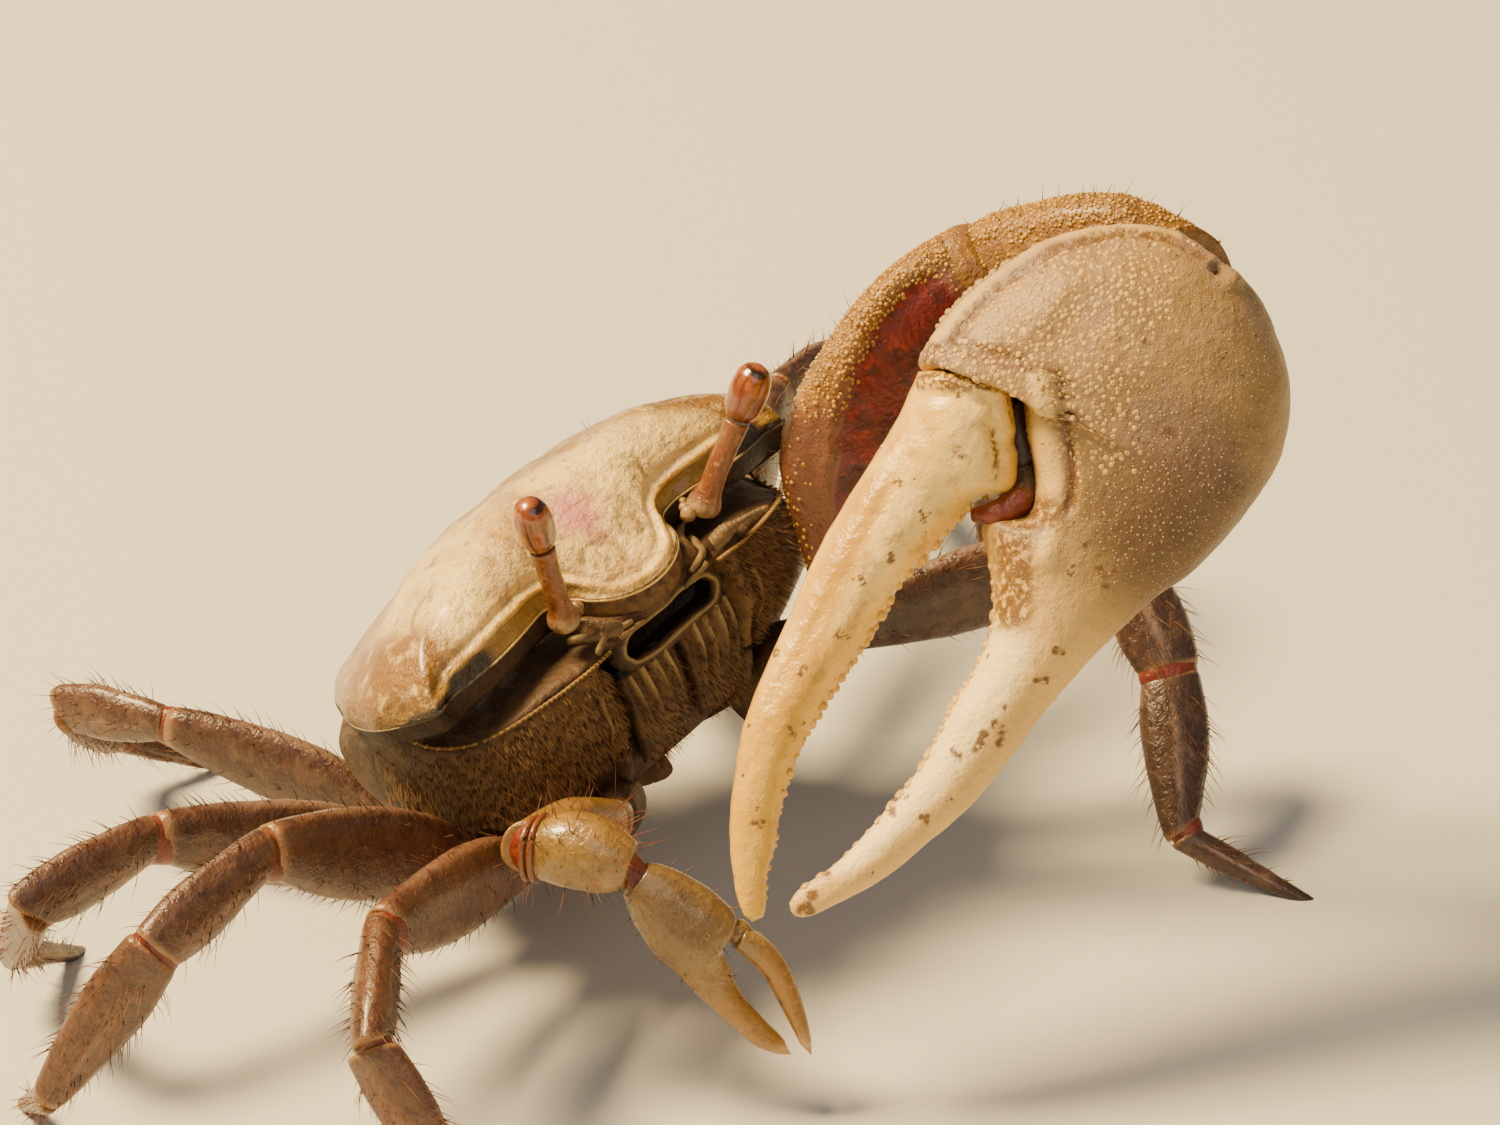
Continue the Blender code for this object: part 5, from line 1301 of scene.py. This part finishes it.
great_claw = (GREAT_WRIST, GREAT_ALONG, GREAT_RISE)
grid, flat, across, outward = ladder_grid(great_claw, GREAT_PALM, 220, 112)
a, r = flat[..., 0], flat[..., 1]
outer = ramp(outward, 0.05, 0.35)
top_line = near_path(flat, [(9.9, 8.9), (8.4, 9.0), (5.9, 8.3), (3.2, 7.0), (1.2, 5.15), (0.0, 2.9),
                            (-0.1, 1.0)])
rolled = near_path(flat, [(10.2, 9.6), (7.7, 9.35), (5.3, 8.65), (3.2, 7.6), (1.6, 6.1), (0.4, 4.4),
                          (-0.25, 2.6)])
collar = near_path(flat, [(9.4, 4.5), (10.2, 3.7), (11.0, 3.05), (11.9, 2.2), (13.0, 1.25), (14.5, 0.3),
                          (16.2, -0.45)])
behind = near_path(flat, [(8.9, 3.6), (9.5, 3.05), (10.35, 2.3), (11.24, 1.5), (12.5, 0.45), (13.6, -0.1)])
bracket = near_path(flat, [(9.3, 5.15), (8.95, 4.5), (8.6, 3.9)])
hinge = near_path(flat, [(10.9, 9.3), (9.9, 8.2), (9.5, 7.0), (9.2, 5.9)])
keel = near_path(flat, [(8.0, 5.9), (6.2, 5.8), (4.4, 5.5)])
dirt = near_path(flat, [(14.4, 0.6), (16.2, 1.5), (17.8, 0.2), (19.2, -0.5)])
notch, knob = np.hypot(a - 0.1, r - 0.1), np.hypot(a - 0.35, r + 0.75)
pit = np.hypot(a - 8.24, r + 2.17)
lift = outer * relief([(top_line, -0.42, 0.19), (rolled, 0.16, 0.42), (collar, 0.34, 0.52),
                       (behind, -0.34, 0.22), (hinge, -0.16, 0.22), (bracket, -0.22, 0.16), (keel, 0.14, 0.5),
                       (notch, -0.5, 0.32), (knob, 0.40, 0.42), (pit, -0.12, 0.3)])
lift += uneven(grid, 0.24, 2.6, 31) * ramp(22 - a, 0, 8) + uneven(grid, 0.08, 0.8, 32)
palm_grid = pushed(grid, lift)
stain = relief([(dirt, 0.9, 1.1), (top_line, 1.1, 0.24), (behind, 1.2, 0.17), (bracket, 0.9, 0.18),
                (hinge + 0.1, 1.3, 0.60), (pit, 1.2, 0.32), (notch, 0.8, 0.35)])
palm_marks = {"warm": ramp(a + 0.25 * r, 10, 21),
              # low: darker towards the palm's lower edge, partly painted shade.
              "low": ramp(a, 3, 12) * ramp(-r, -3, 4) * ramp(24 - a, 0, 8),
              # cream: paler on the lower finger's upper face, partly a painted highlight.
              "cream": outer * ramp(a, 17.5, 22) * ramp(36 - a, 0, 4) * ramp(across, -0.5, 0.3),
              "rim": outer * relief([(collar, 1.0, 0.70), (rolled, 0.8, 0.40)]),
              "stain": outer * (stain + 1.2 * blots(flat, PALM_DIRT))}


def teeth_along(claw, edge, push, count, seed, out=0.0, marks=None, wide=0.26):
    """Blunt teeth set along a biting edge: domes that lean out of the finger, varied in size."""
    rng = np.random.default_rng(seed)
    edge = np.asarray(edge, float)
    run = run_along(edge)
    at = np.linspace(0.03, 0.985, count) * run[-1] + rng.uniform(-0.12, 0.12, count)
    spots, after, before = (spline(run, edge, along)
                            for along in (at, np.clip(at + 0.2, 0, run[-1]), np.clip(at - 0.2, 0, run[-1])))
    ahead = unit(after - before)
    away = np.stack([-ahead[:, 1], ahead[:, 0]], 1) * push
    normals = unit(away[:, :1] * claw[1] + away[:, 1:] * claw[2])
    size = rng.uniform(0.7, 1.2, count) * np.interp(at / run[-1], [0, 0.3, 0.8, 1], [0.9, 1.1, 0.85, 0.6])
    placed = in_plane(claw, spots, np.full(count, out)) - normals * 0.12
    return beads(placed, normals, wide * size, 0.28 * size, marks or {"warm": 1.0}, 8)


bare = 1 - np.minimum(1, relief([(collar, 1, 0.75), (top_line, 1, 0.40), (rolled, 1, 0.5), (knob, 1, 0.5)]))
upper_part = ramp(r + 0.35 * a, 1.0, 6.0) * ramp(12.5 - a, 0, 3)
on_outside = ramp(outward, -0.15, 0.4)
spots, normals, _, _ = scatter(palm_grid, on_outside * upper_part * bare, 0.40, 4200, 51)
rng = np.random.default_rng(52)
size = rng.uniform(0.10, 0.19, len(spots))
dark_ones = 0.3 * (rng.random(len(spots)) > 0.8)
grains = beads(spots - normals * 0.02, normals, size, size * 0.34, {"grain": 0.9, "speck": dark_ones})
weight = on_outside * (1.05 - upper_part) * bare * ramp(19 - a, 0, 6)
spots, normals, _, _ = scatter(palm_grid, weight, 0.30, 3600, 59)
size = rng.uniform(0.028, 0.062, len(spots))
specks = beads(spots - normals * 0.01, normals, size, size * 0.6, {"speck": 0.85})
row = [(9.6, 9.95), (7.7, 9.65), (5.4, 8.85), (3.4, 7.85), (1.8, 6.55), (0.4, 4.9), (-0.5, 3.0)]
ridge = teeth_along(great_claw, row, -1.0, 60, 53, marks={"rim": 0.5})
teeth = [teeth_along(great_claw, [g[0:2] for g in GREAT_PALM[14:]], 1.0, 27, 54, 0.1, {"warm": 0.6}, 0.42),
         teeth_along(great_claw, [g[0:2] for g in GREAT_PALM[15:24]], 1.0, 20, 55, 0.5)]


def great_neck():
    """The palm's neck, from the plane where it meets the arm to a point well inside the palm."""
    root = GREAT_WRIST + 2.4 * GREAT_ALONG + 0.4 * GREAT_RISE
    plane = between(GREAT_ARM[2] - GREAT_ARM[1], root - GREAT_ARM[2])
    stations = [(0.0, 2.0, 1.6, 1.2), (0.4, 1.9, 1.6, 1.3), (1.0, 1.8, 1.6, 1.3)]
    grid = limb_grid(GREAT_ARM[2] + STANCE, root + STANCE, GREAT_RISE, stations, start_cut=plane,
                     count=48, rings=16, start_gap=GAP)[0]
    return grid, plane


neck_grid, wrist_plane = great_neck()
neck_grid, neck_marks = rounded_ends(neck_grid, {}, (0,))
palm_skin = skin(palm_grid, palm_marks, end=in_plane(great_claw, np.array([36.8, 0.7]), 0.0))
put_piece("great_palm", join([palm_skin, skin(neck_grid, neck_marks), grains, specks, ridge, *teeth]),
          palm_chitin, ["great_claw_palm"])

# %% The upper finger
grid, flat, across, outward = ladder_grid(great_claw, GREAT_FINGER, 170, 80)
a, r = flat[..., 0], flat[..., 1]
outer = ramp(outward, 0.05, 0.4)
keel = near_path(flat, [(13.5, 6.6), (18.0, 6.3), (23.0, 6.2), (29.0, 6.0), (34.0, 4.8)])
furrow = near_path(flat, [(14.0, 7.9), (18.0, 7.5), (23.0, 7.2), (29.0, 6.9)])
base_rim = near_path(flat, [(12.1, 9.0), (11.3, 7.2), (10.7, 5.5), (11.9, 4.35)])
hollow = near_path(flat, [(12.4, 4.9), (13.4, 4.0), (14.2, 3.6)])
lift = outer * relief([(keel, 0.10, 0.7), (furrow, -0.08, 0.35), (base_rim, 0.20, 0.30),
                       (base_rim - 0.7, -0.16, 0.30), (hollow, -0.26, 0.35)])
grid = pushed(grid, lift + (uneven(grid, 0.16, 2.2, 33) + uneven(grid, 0.07, 0.8, 34)))
streak = near_path(flat, [(17.4, 8.2), (20.6, 7.9), (24.2, 7.3), (27.5, 6.3), (30.4, 5.6)])
finger_marks = {
    "orange": outer * hump(streak, 0, 0.9) * ramp(a, 14, 19),
    "warm": ramp(a, 18, 36),
    "stain": outer * (0.75 * hump(base_rim, 0.25, 0.34) * ramp(r, 5.5, 7.5) + 0.8 * hump(hollow, 0, 0.25)
                      + 0.9 * ramp(0.20 - base_rim, 0, 0.25) + 1.2 * blots(flat, FINGER_DIRT)),
    # cream: paler along the finger's middle, partly a painted highlight.
    "cream": outer * ramp(27 - a, 0, 8) * hump(across, -0.15, 0.55)}
finger_teeth = [teeth_along(great_claw, [g[2:4] for g in GREAT_FINGER[4:]], -1.0, 44, 56),
                teeth_along(great_claw, [g[2:4] for g in GREAT_FINGER[3:14]], -1.0, 22, 57, 0.6)]
row = np.array([g[0:2] for g in GREAT_FINGER[1:9]]) - [0, 0.12]
knobs = teeth_along(great_claw, row, 1.0, 14, 58, 0.4)
finger_skin = skin(grid, finger_marks, end=in_plane(great_claw, np.array([38.25, 1.95]), 0.0))
put_piece("great_upper_finger", join([finger_skin, *finger_teeth, knobs]), finger_chitin,
          ["great_claw_finger"])
# The finger's seat: soft membrane, red at its lower end and painted near-black above as shade.
seat = [(11.2, 8.4), (10.6, 7.0), (10.3, 5.3), (11.6, 3.9), (12.9, 2.7), (14.2, 2.1), (15.4, 2.6),
        (16.2, 3.6)]
seat_path = resampled(np.array(seat), 60)
swell = np.interp(np.arange(60), [0, 14, 26, 42, 52, 59], [0.5, 0.6, 0.90, 0.76, 0.60, 0.32])
out = np.interp(np.arange(60), [0, 26, 34, 44, 52, 59], [0.2, 0.2, 0.2, 1.0, 1.2, 0.8])
shade = np.interp(np.arange(60), [0, 38, 47], [1.0, 1.0, 0.0])
joint_parts.append(tube(in_plane(great_claw, seat_path, out), swell, 20, {"dark": shade}))

# %% [markdown]
# The arm of the great claw has a short ischium, a heavy merus with a sharp granular rim and a dark
# crimson inner face, and a rounded carpus. The same limb grid makes all three, and the inner face is
# marked by its place round each ring. The small claw and its arm follow, thin and glossy.

# %% The arms
SMALL_WRIST = np.array([-10.54, -12.76, 12.47])
SMALL_ALONG = np.array([0.3365, -0.5684, -0.7508])
SMALL_RISE = np.array([0.7651, -0.2998, 0.5698])
GREAT_SIZES = [((0, 0, 1), [(0, 1.5, 1.5, 1.35), (1, 1.6, 1.6, 1.4)]),
               ((-0.6, 0.3, 0.3), [(0, 1.6, 1.6, 1.4), (0.2, 3.8, 2.4, 1.9), (0.4, 5.6, 2.8, 2.1),
                                   (0.65, 5.4, 2.9, 2.1), (0.85, 4.2, 2.4, 2.1), (1, 2.4, 1.9, 1.8)]),
               ((-0.4, 0.79, 0.47), [(0, 2.0, 1.9, 1.7), (0.3, 2.8, 2.4, 2.1), (0.7, 3.4, 2.5, 2.1),
                                     (1, 2.7, 1.8, 1.4)])]
SMALL_SIZES = [((0, 0, 1), [(0, 1.2, 1.2, 1.0), (1, 1.15, 1.15, 1.0)]),
               ((0, 0, 1), [(0, 1.2, 1.2, 1.0), (0.5, 1.8, 1.7, 1.3), (1, 1.3, 1.3, 1.1)]),
               ((0, 0, 1), [(0, 1.3, 1.3, 1.1), (0.35, 1.9, 1.7, 1.6), (0.75, 1.8, 1.7, 1.6),
                            (1, 1.2, 1.1, 1.0)])]


def arm_grids(side, joints, sizes, bows, wrist, holds=(0, 0, 0)):
    """The grids of ischium, merus and carpus of one arm, and the soft skin of its joints.

    A segment's end planes turn from the joint's plane towards square to it by its share in holds.
    """
    joints, hip = joints + STANCE, hip_point(1, side)
    ways = [unit(joints[0] - hip), unit(joints[1] - joints[0]), unit(joints[2] - joints[1])]
    cuts = [ways[0], between(ways[0], ways[1]), between(ways[1], ways[2]), wrist]
    points = [hip + ways[0] * 1.3, *joints]
    made = []
    for k in range(3):
        first, last = (unit(unit(cut) * (1 - holds[k]) + ways[k] * holds[k]) for cut in cuts[k:k + 2])
        made.append(limb_grid(points[k], points[k + 1], *sizes[k], first, last, bows[k], 48, 52 if k else 14))
    return made, [sleeve(first[0][-3], second[0][2]) for first, second in zip(made[:-1], made[1:])]


arm_parts, arm_coat = [], []
great, folds = arm_grids(1, GREAT_ARM, GREAT_SIZES, (0, 1.2, 0.8), wrist_plane)
joint_parts += [sleeve(great[2][0][-3], neck_grid[3]), folds[0]]
arm_parts.append(sleeve(great[1][0][-3], great[2][0][2], 1.0))
for k, (grid, t, angle) in enumerate(great):
    up, on_inside = np.sin(angle), np.cos(angle) < 0
    crest = np.repeat(hump(up, 1.0, 0.14), len(t), 0)
    border = np.interp(t, [0.25, 0.45, 0.55, 0.65, 0.75, 0.85], [0.50, 0.60, 0.72, 0.83, 0.90, 0.94])
    below = (border - up) * on_inside * (k == 1)
    # The inner face's dark crimson and near-black clouding are partly painted shade.
    inner = ramp(below, -0.02, 0.05) * ramp(t, 0.98, 0.88) * ramp(up, -0.8, -0.5)
    lift = uneven(grid, 0.25, 1.8, 61) + uneven(grid, 0.10, 0.6, 62) - 0.45 * inner + 0.30 * crest * (k > 0)
    lift += 0.30 * hump(below, -0.05, 0.06) * on_inside * (k == 1)
    grid = pushed(grid, lift * np.sin(math.pi * t) ** 0.5)
    mauve = (ramp(0.9 - t, 0, 0.4), np.maximum(ramp(0.60 - t, 0, 0.16), 0.75 * ramp(0.93 - up, 0, 0.1)), 0.0)
    rounded, marks = rounded_ends(grid, {"inner": inner, "mauve": mauve[k]})
    arm_parts.append(skin(rounded, marks))
    low_part = ramp(t, 0.48, 0.70) if k == 1 else 1.0
    weight = (0.12 + crest) * (1 - inner) * ramp(t, 0, 0.1) * ramp(1 - t, 0, 0.1) * (0.04 + low_part)
    spots, out, _, _ = scatter(grid, weight, 0.26, (150, 2000, 1900)[k], 63 + k)
    rng = np.random.default_rng(66 + k)
    size = rng.uniform(0.07, 0.14, len(spots))
    arm_parts.append(beads(spots, out, size, size * 0.7, {"grain": 0.75}))
    spots, out, along, at = scatter(grid, 0.1 + crest, 0.5, 60, 69 + k)
    way = unit(out + along * 0.3 + rng.normal(0, 0.2, out.shape))
    grow(arm_coat, (at + [0, k]) * [0.5, 1 / 3], spots, way, way * 0, rng.uniform(0.5, 1.2, len(spots)), 0.03,
         {"red": 0.4})
put_piece("great_arm", join(arm_parts), arm_chitin,
          ["great_arm_ischium", "great_arm_merus", "great_arm_carpus"])

# %% The small claw
SMALL_PALM = [
    (0.4, 0.9, 0.8, -1.1, 0.9, 0.9, 2.2), (1.1, 1.4, 2.0, -1.5, 1.2, 1.1, 2.2),
    (2.8, 2.1, 3.6, -1.8, 1.4, 1.2, 2.2), (4.5, 2.4, 4.8, -1.7, 1.4, 1.2, 2.4),
    (5.5, 2.1, 5.7, -1.6, 1.3, 1.1, 2.6), (5.9, 0.9, 6.4, -1.6, 1.1, 1.0, 2.4),
    (7.2, 0.4, 7.6, -1.5, 0.8, 0.8, 2.2), (8.6, 0.1, 9.1, -1.3, 0.7, 0.6, 2.2),
    (10.0, 0.1, 10.6, -1.1, 0.6, 0.5, 2.2), (11.4, 0.1, 11.7, -0.6, 0.4, 0.4, 2.2)]
SMALL_FINGER = [
    (5.9, 2.35, 6.3, 1.2, 0.8, 0.8, 2.3), (6.9, 2.7, 7.0, 1.3, 0.7, 0.7, 2.2),
    (8.4, 2.7, 8.3, 1.4, 0.6, 0.6, 2.2), (9.8, 2.3, 9.8, 1.1, 0.5, 0.5, 2.2),
    (11.2, 1.7, 11.1, 0.8, 0.5, 0.4, 2.2), (12.3, 1.1, 12.1, 0.55, 0.3, 0.3, 2.2)]
small_claw = (SMALL_WRIST, SMALL_ALONG, SMALL_RISE)
small_parts = []
small, folds = arm_grids(-1, SMALL_ARM, SMALL_SIZES, (0, 0, 0.3), SMALL_ALONG, (0, 0.4, 0.85))
joint_parts += folds
for k, (grid, t, angle) in enumerate(small):
    grid = pushed(grid, uneven(grid, 0.16, 1.2, 71) * np.sin(math.pi * t))
    rounded, marks = rounded_ends(grid, {"mauve": (1.0, 0.75, 0.25)[k] * (0.4 + 0.7 * noise(grid, 1.5, 72))})
    small_parts.append(skin(rounded, marks))
    if k == 2:
        for row, wide in ((2, 1.10), (6, 1.06)):
            ring = grid[row].mean(0) + (grid[row] - grid[row].mean(0)) * wide
            small_parts.append(ring_tube(ring, 0.16, 10, {"collar": 1.0}))
    spots, out, along, at = scatter(grid, 1.0, 0.5, (8, 60, 70)[k], 73 + k)
    rng = np.random.default_rng(76 + k)
    way = unit(out + along * 0.4 + rng.normal(0, 0.2, out.shape))
    grow(arm_coat, (at + [1, k]) * [0.5, 1 / 3], spots, way, -way * 0.1,
         rng.uniform(0.7, 2.4, len(spots)), 0.032, {"red": 0.9})
put_piece("small_arm", join(small_parts), small_chitin,
          ["small_arm_ischium", "small_arm_merus", "small_arm_carpus"])
grid, flat, _, _ = ladder_grid(small_claw, SMALL_PALM, 90, 48)
joint_parts.append(sleeve(small[2][0][-3], grid[4], 0.7))
a = flat[..., 0]
grid = pushed(grid, uneven(grid, 0.12, 1.0, 81))
claw_marks = {"amber": ramp(a, 5.6, 9.0), "tip": ramp(a, 10.2, 12.4), "olive": 0.9 * ramp(a, 7.5, 3.5)}
palm_tip = in_plane(small_claw, np.array([12.2, -0.1]), 0.0)
put_piece("small_palm", skin(grid, claw_marks, end=palm_tip), small_chitin, ["small_claw_palm"])
spots, out, along, at = scatter(grid, 1 - ramp(a, 6, 9), 0.5, 60, 82)
rng = np.random.default_rng(83)
grow(arm_coat, at * 0.3, spots, unit(out + along * 0.5), out * 0, rng.uniform(0.3, 0.8, len(spots)), 0.028,
     {"red": 0.6})
grid, flat, _, _ = ladder_grid(small_claw, SMALL_FINGER, 70, 40)
a = flat[..., 0]
hinge_path = in_plane(small_claw, resampled(np.array([(5.3, 1.5), (5.9, 1.9), (6.6, 2.0)]), 12), np.zeros(12))
hinge_skin = tube(hinge_path, np.interp(np.arange(12), [0, 5, 11], [0.4, 0.66, 0.5]), 16,
                  {"olive": np.full(12, 0.6)})
finger_tip = in_plane(small_claw, np.array([12.9, 0.6]), 0.0)
finger_skin = skin(grid, {"amber": ramp(a, 5.6, 9.0), "tip": ramp(a, 10.6, 12.8)}, end=finger_tip)
put_piece("small_finger", join([finger_skin, hinge_skin]), small_chitin, ["small_claw_finger"])
put_piece("joint_skin", join(joint_parts), joint_skin)

# %% [markdown]
# A crab's hairs are stiff bristles of the same horn as its shell. The face below the eyes is thick
# with short tan ones that lean down and forward. They are laid in tufts of three from roots picked on
# the face's own grid, so the coat follows the form.

# %% Hair of the face
wall_side, wall_y, wall_z = (np.pad(v, ((0, len(lid)), (0, 0))) for v in (wall_side, wall_y, wall_z))
below = ramp(lip_height(wall_side) - wall_z, 0.004, 0.03)
below = below * ramp(wall_side, 0.165, 0.19) * ramp(0.30 - wall_y, 0, 0.15)
under_side = 1 - 0.85 * ramp(wall_side, 0.40, 0.44) * ramp(wall_z, -0.20, -0.13)
weight = below * under_side
weight[-len(lid):] = 0
spots, normals, _, at = scatter(face_grid, weight, 0.34, 5200, 91)
rng = np.random.default_rng(92)
TUFT = 3
spots, normals, at = (np.repeat(v, TUFT, 0) for v in (spots, normals, at))
spots = spots + rng.normal(0, 0.07, spots.shape)
lean = BODY_TURN @ np.array([0.0, -0.45, -0.85])
sideways = np.sign(((spots - STANCE - [0, 0, BODY_HEIGHT]) @ BODY_TURN)[:, :1]) * (BODY_TURN @ [0.35, 0, 0])
way = unit(normals * 0.75 + lean + sideways + rng.normal(0, 0.16, normals.shape))
hairs = bristles(spots - normals * 0.05, way, lean * 0.25, rng.uniform(0.32, 0.78, len(spots)), 0.031,
                 {"red": 0.0})
put_piece("face_hair", hairs, bristle_horn, uv=hair_uv(at))
for name, coat, slot in (("mouth_hair", mouth_coat, "hairy_face"), ("leg_bristles", leg_coat, "walking_leg"),
                         ("arm_bristles", arm_coat, "claw_arm")):
    put_piece(name, join([made for made, _ in coat]), bristle_horn,
              uv=np.concatenate([patches for _, patches in coat]))

# %% [markdown]
# The crab stands on a plain pale floor in soft studio light: a warm key light high behind its right
# side, a wide dim fill from the camera's side, and a pale sky. The camera stands at the crab's front
# right and looks down on it at 30 degrees through a long lens, as the picture was taken.

# %% Floor, lights and camera
def put_in(name, data):
    """A new object of some data, in the scene."""
    made = bpy.data.objects.new(name, data)
    bpy.context.scene.collection.objects.link(made)
    return made


floor_look = bpy.data.materials.new("pale_floor_paint")
floor_look.use_nodes = True
paint = floor_look.node_tree.nodes["Principled BSDF"]
paint.inputs["Base Color"].default_value = colour("D6D4CE")
paint.inputs["Roughness"].default_value = 0.9
floor_mesh = bpy.data.meshes.new("pale_floor")
REACH = 3.0  # m
floor_mesh.from_pydata([(-REACH, -REACH, 0), (REACH, -REACH, 0), (REACH, REACH, 0), (-REACH, REACH, 0)], [],
                       [(0, 1, 2, 3)])
floor_mesh.materials.append(floor_look)
put_in("pale_floor", floor_mesh)

# The camera's right, up and back, and the point it looks at: beside the back's middle, by pixels of the
# 1500 wide picture.
RIGHT, UP = np.array([0.7071, -0.7071, 0.0]), np.array([0.3536, 0.3536, 0.8660])
CAMERA_BACK = np.array([-0.6124, -0.6124, 0.5])
LENS, SENSOR, CAMERA_DISTANCE = 246.0, 36.0, 0.5  # mm, mm, m
PIXELS_PER_MM = 20.5
target = (STANCE + [0, 0, BODY_HEIGHT] + RIGHT * 150 / PIXELS_PER_MM - UP * 2.5 / PIXELS_PER_MM) * MM


def aim(made, place, at):
    """Places an object and turns its -Z towards a point."""
    made.location = place
    made.rotation_euler = mathutils.Vector(at - place).to_track_quat("-Z", "Y").to_euler()


def area_light(name, way, distance, size, power, text):
    """A square soft light at a distance from the crab along a way."""
    light = bpy.data.lights.new(name, "AREA")
    light.size, light.energy, light.color = size, power, colour(text)[:3]
    aim(put_in(name, light), target + unit(way) * distance, target)


area_light("key_light", -0.60 * RIGHT + 0.75 * UP + 0.35 * CAMERA_BACK, 0.6, 0.18, 13.2, "FFDD9E")
area_light("fill_light", 0.15 * RIGHT + 0.20 * UP + 0.9 * CAMERA_BACK, 0.8, 0.7, 2.2, "F8EEDC")
world = bpy.data.worlds.new("pale_sky")
bpy.context.scene.world = world
world.use_nodes = True
sky = world.node_tree.nodes["Background"].inputs
sky["Color"].default_value, sky["Strength"].default_value = colour("EDEAE4"), 0.22

camera_data = bpy.data.cameras.new("camera")
camera_data.lens, camera_data.sensor_width = LENS, SENSOR
camera_data.clip_start, camera_data.clip_end = 0.01, 20.0
camera = put_in("camera", camera_data)
aim(camera, target + CAMERA_BACK * CAMERA_DISTANCE, target)
bpy.context.scene.camera = camera
print("camera at", [round(v, 4) for v in camera.location])
